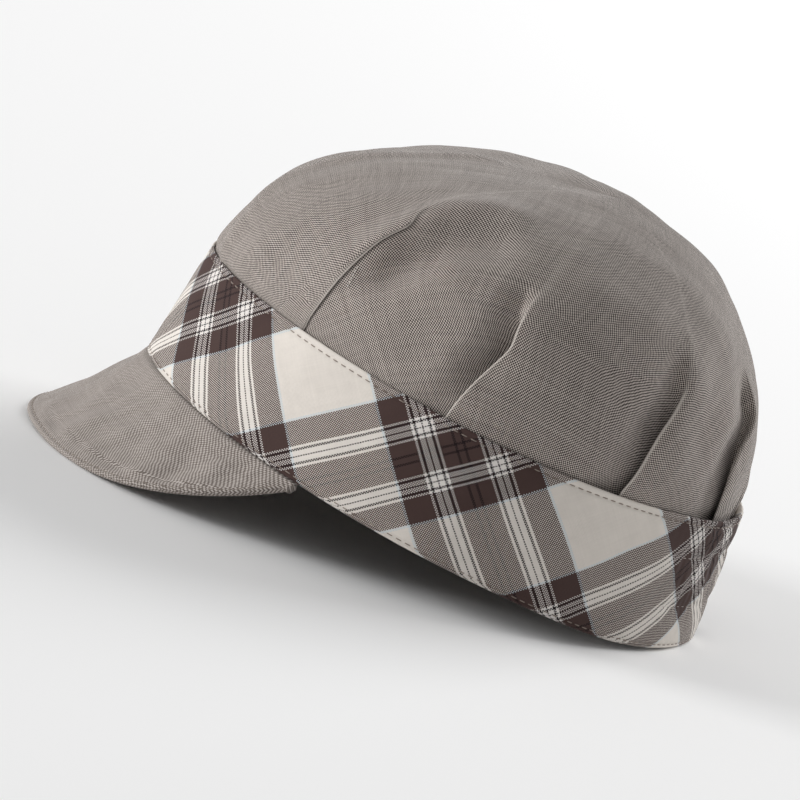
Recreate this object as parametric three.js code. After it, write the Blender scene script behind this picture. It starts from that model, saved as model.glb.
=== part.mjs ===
// Soft kitchen cap: pleated cloth crown, wide check band gathered on elastic at the back, short peak.
// Millimetres, +Z up, the peak points along -Y. The cap stands by itself on the plane z = 0:
// on the front edge of its peak and on the back of its band.
import * as THREE from 'three';
import { mergeVertices } from 'three/addons/utils/BufferGeometryUtils.js';

// Rim: the bottom edge of the band, an ellipse a little pointed towards the front
const RIM_HALF_LENGTH = 97;
const RIM_HALF_WIDTH = 87;
const RIM_SHIFT = -0.9;
const FRONT_EXPONENT = 1.8;
const BACK_EXPONENT = 2;
const RIM_FRONT_RISE = { height: 1.1, centre: 0, reach: 34 };
const RIM_SIDE_SAG = { height: -1.8, centre: 130, reach: 23 };

// Top edge of the band
const BAND_TOP_HALF_LENGTH = 92.6;
const BAND_TOP_HALF_WIDTH = 86.1;
const BAND_TOP_SHIFT = -2.3;
const BAND_TOP_FRONT_HEIGHT = 39.7;
const BAND_TOP_BACK_HEIGHT = 42.6;

// Cloth walls and the gap left between separate pieces
const BAND_WALL = 1.8;
const CROWN_WALL = 1.0;
const PEAK_WALL = 2.2;
const FLANGE_WALL = 1.0;
const PIECE_GAP = 0.45;

// Elastic at the back of the band: the angle where it starts and the number of gathers
const ELASTIC_START = 138;
const ELASTIC_EASE = 9;
const GATHER_COUNT = 13;
const GATHER_DEPTH = 0.75;
const BAND_PLAIN_COLUMNS = 48;
const COLUMNS_PER_GATHER = 4;

// Sections up the band: share of its height, how far the cloth swells out between
// the elastic's stitch lines, and how strongly it is gathered there
const BAND_SECTIONS = [
  { share: 0.0, swell: 0.0, gather: 0.0 },
  { share: 0.27, swell: -0.2, gather: 0.2 },
  { share: 0.47, swell: 0.7, gather: 0.7 },
  { share: 0.67, swell: -0.3, gather: 0.8 },
  { share: 0.83, swell: 0.9, gather: 1.0 },
  { share: 1.0, swell: -0.1, gather: 0.6 },
];

// Crown: height and place of its summit, and the roundness and fullness of its outline
const CROWN_HEIGHT = 110.1;
const SUMMIT_Y = 10.9;
const CROWN_ROUNDNESS = { front: 1.62, side: 2.28, back: 2.16 };
const CROWN_FULLNESS = { front: 0.103, side: 0.046, back: -0.077 };
const TUCK_DEPTH = 6;
const TUCK_EASE = 6;

// Rows up the crown, as the angle between the band's top edge (0) and the summit (90)
const CROWN_ROWS = [0, 4, 10, 17, 24, 31, 38, 46, 56, 68, 80];

// Pleats of the left half, mirrored on the right. angle: where the fold's edge leaves the band.
// lean: how far that edge drifts back over its height. onTop: which neighbour lies on top,
// 1 the front one and -1 the rear one. overlap: how far the fold reaches under, at the band.
// reach: crown angle where the fold ends. fade: crown angle over which its step then dies out.
// step: height of the open end.
const PLEATS = [
  { angle: 44, lean: 3, onTop: 1, overlap: 13, reach: 44, fade: 22, step: 4.0 },
  { angle: 79.5, lean: 3, onTop: -1, overlap: 13, reach: 33, fade: 20, step: 4.0 },
  { angle: 117, lean: 4, onTop: -1, overlap: 15, reach: 38, fade: 22, step: 4.8 },
  { angle: 145, lean: 4, onTop: -1, overlap: 14, reach: 34, fade: 24, step: 5.0 },
];
const STEP_AT_BAND = 2.7;
const OPEN_SPREAD = 5;
const FADED_SPREAD = 11;
const EDGE_PUFF = 1.3;
const PUFF_EASE = 12;

// One pleat seen in section, from the top panel to the panel that it covers. side: fixed distance
// from the fold's edge in mm. fold: share of the overlap. turn: share of the layer step.
// spread: share of the open width. depth: layers below the surface. puff: share of the puff.
const PLEAT_SECTION = [
  { side: -14, fold: 0, turn: 0, spread: 0, depth: 0, puff: 0 },
  { side: -4, fold: 0, turn: 0, spread: -0.7, depth: 0, puff: 1 },
  { side: 0, fold: 0, turn: -0.5, spread: -0.5, depth: 0, puff: 0.4 },
  { side: 0, fold: 0, turn: 0, spread: -0.3, depth: 0.5, puff: 0 },
  { side: 0, fold: 0, turn: -0.5, spread: -0.1, depth: 1, puff: 0 },
  { side: 0, fold: -1, turn: 0.5, spread: 0.1, depth: 1, puff: 0 },
  { side: 0, fold: -1, turn: 0, spread: 0.3, depth: 1.5, puff: 0 },
  { side: 0, fold: -1, turn: 0.5, spread: 0.5, depth: 2, puff: 0 },
  { side: 2, fold: 0, turn: 0, spread: 0.6, depth: 2, puff: 0 },
  { side: 12, fold: 0, turn: 0, spread: 0.2, depth: 1.4, puff: 0 },
  { side: 24, fold: 0, turn: 0, spread: 0, depth: 0.2, puff: 0 },
];

// Gathers of the crown's cloth over the elastic, and the columns between the pleats
const CROWN_GATHERS = { count: 6, depth: 1.6, reach: 20 };
const CROWN_GATHER_COLUMNS = 3;
const FRONT_COLUMNS = 8;
const PANEL_COLUMN_ANGLE = 9;

// Peak: its half angle round the rim, its width at the middle and the shape of its outline,
// its slope below the horizontal at the middle and at the ends, and its hollow bow.
// PEAK_ROWS are its sections from root to edge, as shares of its width.
const PEAK_HALF_ANGLE = 59.5;
const PEAK_WIDTH = 41.2;
const PEAK_OUTLINE = { angle: 3.89, width: 1.2 };
const PEAK_SLOPE = { middle: 52.4, end: 48.2 };
const PEAK_FAN = 0.27;
const PEAK_BOW = 1.8;
const PEAK_END_WIDTH = 3;
const PEAK_COLUMNS = 30;
const PEAK_ROWS = [0.25, 0.5, 0.75, 0.92];
const PEAK_EDGE_ROUNDING = 0.35;
const FLANGE_HEIGHT = 5;

// Rest: the cap tips back until the back of the band and the edge of the peak are down, and cloth
// flattens where it stands. The shift along Y centres the part on the origin.
const REST_PITCH = 9.05;
const REST_FLATTENING = 0.9;
const CENTRE_SHIFT = 14.78;

// Cloth colours
const CHAMBRAY = 0x8b827d;
const CHECK = 0x8f8780;

const rad = THREE.MathUtils.degToRad;
const lerp = THREE.MathUtils.lerp;
const clamp = THREE.MathUtils.clamp;

function smooth(share) {
  return THREE.MathUtils.smoothstep(share, 0, 1);
}

function bell(angle, { height, centre, reach }) {
  return height * Math.exp(-(((Math.abs(angle) - centre) / reach) ** 2));
}

// Angle in degrees brought to the range -180 to 180, 0 at the front
function wrap(angle) {
  return THREE.MathUtils.euclideanModulo(angle + 180, 360) - 180;
}

// Point of an oval round the head at an angle from the front
function oval(angle, halfLength, halfWidth, shift) {
  const c = Math.cos(rad(angle));
  const s = Math.sin(rad(angle));
  const exponent = c > 0 ? FRONT_EXPONENT : BACK_EXPONENT;
  const scale = (Math.abs(c) ** exponent + Math.abs(s) ** exponent) ** (-1 / exponent);
  return new THREE.Vector2(halfWidth * s * scale, shift - halfLength * c * scale);
}

function rimPoint(angle) {
  const height = bell(wrap(angle), RIM_FRONT_RISE) + bell(wrap(angle), RIM_SIDE_SAG);
  const flat = oval(angle, RIM_HALF_LENGTH, RIM_HALF_WIDTH, RIM_SHIFT);
  return new THREE.Vector3(flat.x, flat.y, height);
}

function bandTopPoint(angle) {
  const share = (1 - Math.cos(rad(angle))) / 2;
  const flat = oval(angle, BAND_TOP_HALF_LENGTH, BAND_TOP_HALF_WIDTH, BAND_TOP_SHIFT);
  return new THREE.Vector3(flat.x, flat.y, lerp(BAND_TOP_FRONT_HEIGHT, BAND_TOP_BACK_HEIGHT, share));
}

// Horizontal direction that points out of the rim at an angle
function outward(angle) {
  const step = 0.5;
  const along = rimPoint(angle + step).sub(rimPoint(angle - step));
  return new THREE.Vector3(along.y, -along.x, 0).normalize();
}

// Point of the band's outer face at a share of its height, moved in by a distance
function bandPoint(angle, share, inset) {
  return rimPoint(angle).lerp(bandTopPoint(angle), share).addScaledVector(outward(angle), -inset);
}

// The cap tipped into its resting place, with what would sink into the floor laid flat
function rest(point) {
  const settled = point.clone().applyAxisAngle(new THREE.Vector3(1, 0, 0), rad(-REST_PITCH));
  settled.z = Math.max(settled.z - floorLevel, 0);
  return settled;
}

// Skin over a row of sections. Each section runs once round the wall; poles close the ends
// of the sections on a shared point, caps close the ends of the row.
function skin(sections, { ring, poles, caps }) {
  const vertices = [];
  const triangle = (a, b, c) => {
    const area = new THREE.Triangle(a, b, c).getArea();
    if (area > 1e-7) {
      vertices.push(...a.toArray(), ...b.toArray(), ...c.toArray());
    }
  };
  const size = sections[0].length;
  const columns = ring ? sections.length : sections.length - 1;
  for (let i = 0; i < columns; i += 1) {
    const here = sections[i];
    const next = sections[(i + 1) % sections.length];
    for (let k = 0; k < (poles ? size - 1 : size); k += 1) {
      const up = (k + 1) % size;
      triangle(here[k], next[k], next[up]);
      triangle(here[k], next[up], here[up]);
    }
  }
  if (caps) {
    const first = sections[0];
    const last = sections[sections.length - 1];
    for (let k = 0; k < size / 2 - 1; k += 1) {
      const back = size - 1 - k;
      triangle(first[k], first[k + 1], first[back - 1]);
      triangle(first[k], first[back - 1], first[back]);
      triangle(last[k], last[back - 1], last[k + 1]);
      triangle(last[k], last[back], last[back - 1]);
    }
  }
  const geometry = new THREE.BufferGeometry();
  geometry.setAttribute('position', new THREE.Float32BufferAttribute(vertices, 3));
  return mergeVertices(geometry, 1e-4);
}

// How strongly the elastic draws the cloth in at an angle, 0 to 1
function elasticPull(angle) {
  return smooth((Math.abs(wrap(angle)) - ELASTIC_START) / ELASTIC_EASE);
}

function bandColumns() {
  const angles = [];
  const gathers = GATHER_COUNT * COLUMNS_PER_GATHER;
  for (let i = 0; i <= BAND_PLAIN_COLUMNS; i += 1) {
    angles.push(lerp(-ELASTIC_START, ELASTIC_START, i / BAND_PLAIN_COLUMNS));
  }
  for (let i = 1; i < gathers; i += 1) {
    angles.push(lerp(ELASTIC_START, 360 - ELASTIC_START, i / gathers));
  }
  return angles;
}

function makeBand() {
  const span = 360 - 2 * ELASTIC_START;
  const sections = bandColumns().map((angle) => {
    const pull = elasticPull(angle);
    const phase = (angle - ELASTIC_START) / span * GATHER_COUNT;
    const groove = pull * (1 - Math.cos(2 * Math.PI * phase)) / 2;
    const outer = BAND_SECTIONS.map(({ share, swell, gather }) => {
      const inset = GATHER_DEPTH * gather * groove - swell * pull;
      return rest(bandPoint(angle, share, inset));
    });
    const inner = [1, 0.5, 0].map((share) => rest(bandPoint(angle, share, BAND_WALL)));
    return [...outer, ...inner];
  });
  return skin(sections, { ring: true, poles: false, caps: false });
}

// Blend of a front, side and back value round the head
function round(angle, { front, side, back }) {
  const c = Math.cos(rad(angle));
  return lerp(side, c > 0 ? front : back, c * c);
}

// Smooth outer form of the crown, before pleats
function crownForm(angle, climb) {
  const edge = bandTopPoint(angle);
  const power = 2 / round(angle, CROWN_ROUNDNESS);
  const c = Math.cos(rad(climb));
  const s = Math.sin(rad(climb));
  const full = round(angle, CROWN_FULLNESS) * Math.sin(rad(2 * climb)) ** 2 * c;
  const reach = Math.max(c, 0) ** power + full;
  return new THREE.Vector3(
    reach * edge.x,
    lerp(SUMMIT_Y, edge.y, reach),
    lerp(edge.z, CROWN_HEIGHT, s ** power),
  );
}

function crownNormal(angle, climb) {
  const step = 0.5;
  const across = crownForm(angle + step, climb).sub(crownForm(angle - step, climb));
  const up = crownForm(angle, climb + step).sub(crownForm(angle, Math.max(climb - step, 0)));
  return across.cross(up).normalize();
}

// Width of the overlap, layer step and open spread of a pleat at a height of the crown
function pleatAt(pleat, climb) {
  const rise = clamp(climb / pleat.reach, 0, 1);
  const fade = smooth((climb - pleat.reach) / pleat.fade);
  const overlap = pleat.overlap * (1 - rise);
  const open = smooth(1 - overlap / OPEN_SPREAD);
  return {
    overlap,
    step: lerp(STEP_AT_BAND, pleat.step, rise) / 2 * (1 - fade),
    spread: OPEN_SPREAD * open + (FADED_SPREAD - OPEN_SPREAD) * fade,
    puff: EDGE_PUFF * smooth(climb / PUFF_EASE) * (1 - fade),
  };
}

// Columns of the crown: a function for each that gives its angle and depth at a height
function pleatColumns(pleat) {
  const perMillimetre = 1 / bandTopPoint(pleat.angle + 0.5).distanceTo(bandTopPoint(pleat.angle - 0.5));
  const columns = PLEAT_SECTION.map((station) => (climb) => {
    const { overlap, step, spread, puff } = pleatAt(pleat, climb);
    const along = station.side + station.fold * overlap + station.turn * step + station.spread * spread;
    const edge = pleat.angle + pleat.lean * clamp(climb / pleat.reach, 0, 1);
    return {
      angle: edge + pleat.onTop * along * perMillimetre,
      depth: station.depth * step - station.puff * puff,
    };
  });
  return pleat.onTop > 0 ? columns : columns.reverse();
}

function mirrored(column) {
  return (climb) => {
    const { angle, depth } = column(climb);
    return { angle: -angle, depth };
  };
}

// Columns spread evenly between two others, with an optional depth of their own
function between(left, right, count, depthAt) {
  const columns = [];
  for (let i = 1; i < count; i += 1) {
    const share = i / count;
    columns.push((climb) => {
      const from = left(climb);
      const to = right(climb);
      const turn = to.angle < from.angle ? 360 : 0;
      return {
        angle: lerp(from.angle, to.angle + turn, share),
        depth: lerp(from.depth, to.depth, share) + (depthAt ? depthAt(share, climb) : 0),
      };
    });
  }
  return columns;
}

function gatherDepth(share, climb) {
  const wave = (1 - Math.cos(2 * Math.PI * share * CROWN_GATHERS.count)) / 2;
  return CROWN_GATHERS.depth * wave * (1 - smooth(climb / CROWN_GATHERS.reach));
}

function crownColumns() {
  const half = [];
  for (const pleat of PLEATS) {
    const own = pleatColumns(pleat);
    if (half.length > 0) {
      const last = half[half.length - 1];
      const width = own[0](0).angle - last(0).angle;
      half.push(...between(last, own[0], Math.max(1, Math.round(width / PANEL_COLUMN_ANGLE))));
    }
    half.push(...own);
  }
  const other = half.map(mirrored).reverse();
  const gathers = CROWN_GATHERS.count * CROWN_GATHER_COLUMNS;
  return [
    ...other,
    ...between(other[other.length - 1], half[0], FRONT_COLUMNS),
    ...half,
    ...between(half[half.length - 1], other[0], gathers, gatherDepth),
  ];
}

// Middle of the crown's wall: rows from the hidden edge inside the band up to the last before the summit
function crownMiddle() {
  const hidden = BAND_WALL + PIECE_GAP;
  const bandHeight = BAND_TOP_FRONT_HEIGHT;
  return crownColumns().map((column) => {
    const tuck = column(0);
    const foot = bandPoint(tuck.angle, 1 - TUCK_DEPTH / bandHeight, hidden + CROWN_WALL / 2 + tuck.depth);
    const rows = CROWN_ROWS.map((climb) => {
      const { angle, depth } = column(climb);
      const inset = CROWN_WALL / 2 + depth + hidden * Math.exp(-((climb / TUCK_EASE) ** 2));
      const direction = climb > 0 ? crownNormal(angle, climb) : outward(angle);
      return crownForm(angle, climb).addScaledVector(direction, -inset);
    });
    return [foot, ...rows];
  });
}

function makeCrown() {
  const middle = crownMiddle();
  const summit = new THREE.Vector3(0, SUMMIT_Y, CROWN_HEIGHT);
  const rows = middle[0].length;
  const normal = (i, j) => {
    const count = middle.length;
    const across = middle[(i + 1) % count][j].clone().sub(middle[(i + count - 1) % count][j]);
    const above = j + 1 < rows ? middle[i][j + 1] : summit;
    const up = above.clone().sub(middle[i][Math.max(j - 1, 0)]);
    return across.cross(up).normalize();
  };
  const half = CROWN_WALL / 2;
  const sections = middle.map((column, i) => {
    const outer = column.map((point, j) => point.clone().addScaledVector(normal(i, j), half));
    const inner = column.map((point, j) => point.clone().addScaledVector(normal(i, j), -half));
    const top = summit.clone();
    const under = summit.clone().setZ(CROWN_HEIGHT - CROWN_WALL);
    return [under, ...inner.reverse(), ...outer, top].map(rest);
  });
  return skin(sections, { ring: true, poles: true, caps: false });
}

// Width of the peak at an angle, and the way that it runs out from the rim
function peakWidth(angle) {
  const share = Math.abs(angle) / PEAK_HALF_ANGLE;
  const width = PEAK_WIDTH * Math.max(1 - share ** PEAK_OUTLINE.angle, 0) ** (1 / PEAK_OUTLINE.width);
  return Math.max(width, PEAK_END_WIDTH);
}

function peakFrame(angle) {
  const slope = rad(lerp(PEAK_SLOPE.middle, PEAK_SLOPE.end, (angle / PEAK_HALF_ANGLE) ** 2));
  const ahead = new THREE.Vector3(Math.sin(rad(PEAK_FAN * angle)), -Math.cos(rad(PEAK_FAN * angle)), 0);
  const out = ahead.clone().multiplyScalar(Math.cos(slope)).setZ(-Math.sin(slope));
  const up = ahead.clone().multiplyScalar(Math.sin(slope)).setZ(Math.cos(slope));
  return { out, up };
}

function peakSection(angle) {
  const { out, up } = peakFrame(angle);
  const width = peakWidth(angle);
  const root = rimPoint(angle).setZ(rimPoint(angle).z - PIECE_GAP);
  const at = (share, drop) => {
    const bow = 4 * PEAK_BOW * share * (1 - share) * width / PEAK_WIDTH;
    return root.clone().addScaledVector(out, share * width).addScaledVector(up, -bow - drop);
  };
  const inset = BAND_WALL + PIECE_GAP;
  const height = (inside, rise) => bandPoint(angle, rise / BAND_TOP_FRONT_HEIGHT, inside);
  const upper = [
    height(inset, FLANGE_HEIGHT),
    height(inset, -PIECE_GAP),
    at(0, 0),
    ...PEAK_ROWS.map((share) => at(share, 0)),
    at(1, PEAK_WALL * PEAK_EDGE_ROUNDING),
  ];
  const lower = [
    at(1, PEAK_WALL * (1 - PEAK_EDGE_ROUNDING)),
    ...PEAK_ROWS.map((share) => at(share, PEAK_WALL)).reverse(),
    at(0, PEAK_WALL),
    height(inset + FLANGE_WALL, -PEAK_WALL),
    height(inset + FLANGE_WALL, FLANGE_HEIGHT),
  ];
  return [...upper, ...lower];
}

function makePeak() {
  const sections = [];
  for (let i = 0; i <= PEAK_COLUMNS; i += 1) {
    const angle = lerp(-PEAK_HALF_ANGLE, PEAK_HALF_ANGLE, i / PEAK_COLUMNS);
    sections.push(peakSection(angle).map(rest).reverse());
  }
  return skin(sections, { ring: false, poles: false, caps: true });
}

// Height of the floor under the tipped cap, a little above the band's lowest point
const lowestRim = rimPoint(180).applyAxisAngle(new THREE.Vector3(1, 0, 0), rad(-REST_PITCH)).z;
const floorLevel = lowestRim + REST_FLATTENING;

function piece(name, geometry, color) {
  const cloth = new THREE.MeshStandardMaterial({ color, roughness: 0.9, metalness: 0 });
  const mesh = new THREE.Mesh(geometry, cloth);
  mesh.name = name;
  return mesh;
}

const cap = new THREE.Group();
cap.position.y = CENTRE_SHIFT;
cap.add(piece('crown', makeCrown(), CHAMBRAY));
cap.add(piece('band', makeBand(), CHECK));
cap.add(piece('peak', makePeak(), CHAMBRAY));

export default cap;
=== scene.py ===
"""Soft kitchen cap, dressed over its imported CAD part.

A pleated chambray crown, a wide bias-cut check band drawn in by elastic at the back, and a
short stiffened peak. Sizes are in millimetres in the cap's own frame (origin at the centre of
the rim, front along -Y), and CapForm.rest() tips the cap into its resting place in metres.
Angles are in degrees, round the cap from the front towards the wearer's left.
"""

import logging
import math
from dataclasses import dataclass, field
from enum import Enum
from typing import Any, Sequence

import bpy
import numpy as np
from mathutils import Matrix


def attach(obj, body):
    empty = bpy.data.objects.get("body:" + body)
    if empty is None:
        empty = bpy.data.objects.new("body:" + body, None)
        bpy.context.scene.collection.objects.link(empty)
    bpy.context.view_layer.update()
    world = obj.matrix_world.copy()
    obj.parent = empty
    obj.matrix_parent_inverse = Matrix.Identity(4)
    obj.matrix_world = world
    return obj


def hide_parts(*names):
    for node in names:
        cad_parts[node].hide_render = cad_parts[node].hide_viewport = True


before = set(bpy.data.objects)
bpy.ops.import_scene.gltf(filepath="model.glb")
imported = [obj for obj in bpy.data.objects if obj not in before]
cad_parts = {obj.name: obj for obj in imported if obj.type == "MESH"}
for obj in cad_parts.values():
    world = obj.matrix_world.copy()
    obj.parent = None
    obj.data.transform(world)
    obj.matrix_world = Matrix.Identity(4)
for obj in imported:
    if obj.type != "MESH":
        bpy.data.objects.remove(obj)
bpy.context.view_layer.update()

LOG = logging.getLogger("chef_cap")
BODY = "root"
MM = 0.001
# Half of the step, in degrees, over which directions on the form are measured
STEP = 0.5
FULL_TURN = 360.0

Array = np.ndarray
Faces = list[Sequence[int]]
Material = bpy.types.Material
Piece = bpy.types.Object
Socket = bpy.types.NodeSocket
Tree = bpy.types.NodeTree
# A pair named ease says where a change starts and over how much it goes
Pair = tuple[float, float]
Table = tuple[Pair, ...]
Triple = tuple[float, float, float]


def smooth(share: Array | float) -> Array:
    """Eased step that runs from 0 to 1 as share runs from 0 to 1."""
    held = np.clip(share, 0.0, 1.0)
    return held * held * (3.0 - 2.0 * held)


def ramp(value: Array | float, start: float, length: float) -> Array:
    """Eased step from 0 where value is start to 1 where it is length further."""
    return smooth((value - start) / length)


def hump(distance: Array | float, reach: float) -> Array:
    """Soft bell of height 1 that dies out over reach on both sides of 0."""
    return np.exp(-((distance / reach) ** 2))


def arch(share: Array) -> Array:
    """Half a wave, 0 at both ends and 1 in the middle as share runs from 0 to 1."""
    return np.sin(math.pi * np.clip(share, 0, 1))


def sine(angle: Array) -> Array:
    """Sine of an angle in degrees."""
    return np.sin(np.radians(angle))


def cosine(angle: Array) -> Array:
    """Cosine of an angle in degrees."""
    return np.cos(np.radians(angle))


def wrap(angle: Array) -> Array:
    """Angle brought to the range -180 to 180, 0 at the front."""
    return (angle + 180.0) % FULL_TURN - 180.0


def unit(vectors: Array) -> Array:
    """Vectors along the last axis brought to length 1."""
    return vectors / np.maximum(np.linalg.norm(vectors, axis=-1, keepdims=True), 1e-9)


def lengths_along(points: Array) -> Array:
    """Length from the first point to each point of a line of points."""
    steps = np.linalg.norm(np.diff(points, axis=0), axis=-1)
    return np.concatenate([np.zeros_like(steps[:1]), np.cumsum(steps, axis=0)])


def lengths_round(sections: Array) -> Array:
    """Length along each section, for columns by rows of points."""
    return lengths_along(np.swapaxes(sections, 0, 1)).T


def turned_back(run: Array, row: int) -> Array:
    """Lengths along sections that shrink again past one row, as on cloth folded there."""
    apex = run[:, row : row + 1]
    return np.where(run > apex, 2.0 * apex - run, run)


def upright(height: float) -> Array:
    """Vector straight up."""
    return np.array([0.0, 0.0, height])


def sample(places: Array, run: Array, values: Array) -> Array:
    """Vectors at some places along a line, between those given at run."""
    return np.stack([np.interp(places, run, values[:, k]) for k in range(3)], axis=-1)


def per_column(angle: Array, values: Array) -> Array:
    """The same row values for each column."""
    return np.tile(values, (len(angle), 1))


def per_row(angle: Array, rows: int) -> Array:
    """The columns' angles for each row."""
    return np.tile(angle[:, None], (1, rows))


@dataclass(frozen=True)
class CapForm:
    """Smooth form of the cap before its folds, the same as the CAD part's."""

    # Ovals of the band's bottom and top edges: half length, half width and shift along Y
    rim_oval: Triple = (97.0, 87.0, -0.9)
    top_oval: Triple = (92.6, 86.1, -2.3)
    # Where the rim's edge rises or dips: height, angle and reach in degrees
    rim_waves: tuple[Triple, ...] = ((1.1, 0.0, 34.0), (-1.8, 130.0, 23.0))
    front_exponent: float = 1.8
    back_exponent: float = 2.0
    top_front_height: float = 39.7
    top_back_height: float = 42.6
    crown_height: float = 110.1
    summit_y: float = 10.9
    # Exponents of the crown's section and what bulges past it, at front, side and back
    roundness: Triple = (1.62, 2.28, 2.16)
    fullness: Triple = (0.103, 0.046, -0.077)
    # How the cap rests: pitch in degrees, cloth pressed flat, and shift to the box's centre
    rest_pitch: float = 9.05
    rest_flattening: float = 0.9
    centre_shift: float = 14.78

    def oval(self, angle: Array, length: float, width: float, shift: float) -> Array:
        """Point of an oval round the head.

        Args:
            angle: degrees from the front.
            length: half length along Y.
            width: half width along X.
            shift: place of the centre along Y.

        Returns:
            x and y along the last axis.
        """
        c = cosine(angle)
        s = sine(angle)
        exponent = np.where(c > 0, self.front_exponent, self.back_exponent)
        scale = (np.abs(c) ** exponent + np.abs(s) ** exponent) ** (-1.0 / exponent)
        return np.stack([width * s * scale, shift - length * c * scale], axis=-1)

    def rim(self, angle: Array) -> Array:
        """Point of the band's bottom edge at an angle.

        Args:
            angle: degrees from the front.

        Returns:
            The points along the last axis.
        """
        flat = self.oval(angle, *self.rim_oval)
        turn = np.abs(wrap(angle))
        height = sum(rise * hump(turn - place, reach) for rise, place, reach in self.rim_waves)
        return np.concatenate([flat, height[..., None]], axis=-1)

    def band_top(self, angle: Array) -> Array:
        """Point of the band's top edge at an angle.

        Args:
            angle: degrees from the front.

        Returns:
            The points along the last axis.
        """
        share = (1.0 - cosine(angle)) / 2.0
        flat = self.oval(angle, *self.top_oval)
        height = self.top_front_height + (self.top_back_height - self.top_front_height) * share
        return np.concatenate([flat, height[..., None]], axis=-1)

    def outward(self, angle: Array) -> Array:
        """Horizontal direction that points out of the rim at an angle.

        Args:
            angle: degrees from the front.

        Returns:
            Directions of length 1 along the last axis.
        """
        along = self.rim(angle + STEP) - self.rim(angle - STEP)
        across = np.stack([along[..., 1], -along[..., 0], np.zeros_like(along[..., 0])], axis=-1)
        return unit(across)

    def band_height(self, angle: Array) -> Array:
        """Height of the band along its own slope at an angle."""
        return np.linalg.norm(self.band_top(angle) - self.rim(angle), axis=-1)

    def band(self, angle: Array, height: Array, inset: Array | float) -> Array:
        """Point of the band.

        Args:
            angle: degrees from the front.
            height: distance up the band from its bottom edge.
            inset: distance in from the smooth outer face.

        Returns:
            The points along the last axis.
        """
        share = (height / self.band_height(angle))[..., None]
        face = self.rim(angle) * (1.0 - share) + self.band_top(angle) * share
        return face - self.outward(angle) * np.asarray(inset)[..., None]

    def around(self, angle: Array, values: Triple) -> Array:
        """Blend of a front, side and back value round the head.

        Args:
            angle: degrees from the front.
            values: the front, side and back value.

        Returns:
            The value at each angle.
        """
        c = cosine(angle)
        front, side, back = values
        return side + (np.where(c > 0, front, back) - side) * c * c

    def crown(self, angle: Array, climb: Array) -> Array:
        """Point of the crown's smooth outer form.

        Args:
            angle: degrees from the front.
            climb: 0 at the band's top edge, 90 at the summit.

        Returns:
            The points along the last axis.
        """
        edge = self.band_top(angle)
        power = 2.0 / self.around(angle, self.roundness)
        c = np.clip(cosine(climb), 0.0, 1.0)
        s = np.clip(sine(climb), 0.0, 1.0)
        reach = c**power + self.around(angle, self.fullness) * sine(2.0 * climb) ** 2 * c
        y = self.summit_y + (edge[..., 1] - self.summit_y) * reach
        z = edge[..., 2] + (self.crown_height - edge[..., 2]) * s**power
        return np.stack([reach * edge[..., 0], y, z], axis=-1)

    def crown_normal(self, angle: Array, climb: Array) -> Array:
        """Outward normal of the crown's smooth form.

        Args:
            angle: degrees from the front.
            climb: 0 at the band's top edge, 90 at the summit.

        Returns:
            Directions of length 1 along the last axis.
        """
        across = self.crown(angle + STEP, climb) - self.crown(angle - STEP, climb)
        up = self.crown(angle, climb + STEP) - self.crown(angle, np.maximum(climb - STEP, 0.0))
        return unit(np.cross(across, up))

    def rest(self, points: Array) -> Array:
        """Brings points to where the cap rests and presses what is under the floor flat.

        Args:
            points: points in the cap's own frame, in millimetres.

        Returns:
            The points in the part's frame, in metres.
        """
        pitch = math.radians(-self.rest_pitch)
        lowest = self.rim(np.array(180.0))
        floor = lowest[1] * math.sin(pitch) + lowest[2] * math.cos(pitch) + self.rest_flattening
        y = points[..., 1] * math.cos(pitch) - points[..., 2] * math.sin(pitch)
        z = points[..., 1] * math.sin(pitch) + points[..., 2] * math.cos(pitch)
        settled = [points[..., 0], y + self.centre_shift, np.maximum(z - floor, 0.0)]
        return np.stack(settled, axis=-1) * MM


@dataclass(frozen=True)
class Unevenness:
    """Seeded soft unevenness of hand-sewn cloth, as a sum of waves across a flat plane."""

    seed: int
    shortest: float
    longest: float
    height: float
    count: int = 26

    def at(self, x: Array, y: Array) -> Array:
        """Height of the unevenness.

        Args:
            x: flat places one way, in millimetres.
            y: flat places the other way.

        Returns:
            The height at each place, in millimetres.
        """
        rng = np.random.default_rng(self.seed)
        total = np.zeros(np.broadcast(x, y).shape)
        weight = 0.0
        for _ in range(self.count):
            wave = math.exp(rng.uniform(math.log(self.shortest), math.log(self.longest)))
            turn = rng.uniform(0.0, 2.0 * math.pi)
            phase = rng.uniform(0.0, 2.0 * math.pi)
            run = x * math.cos(turn) + y * math.sin(turn)
            total = total + wave * np.cos(2.0 * math.pi * run / wave + phase)
            weight += wave * wave / 2.0
        return self.height * total / math.sqrt(weight)


def add_piece(name: str, vertices: Array, faces: Faces, material: Material) -> Piece:
    """Adds a smooth-shaded mesh object to the scene.

    Args:
        name: name of the piece.
        vertices: its points in metres.
        faces: its faces, as numbers of points.
        material: its only material.

    Returns:
        The new object.
    """
    mesh = bpy.data.meshes.new(name)
    mesh.from_pydata(vertices.tolist(), [], faces)
    mesh.polygons.foreach_set("use_smooth", [True] * len(mesh.polygons))
    mesh.materials.append(material)
    mesh.update()
    piece = bpy.data.objects.new(name, mesh)
    bpy.context.scene.collection.objects.link(piece)
    return piece


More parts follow.
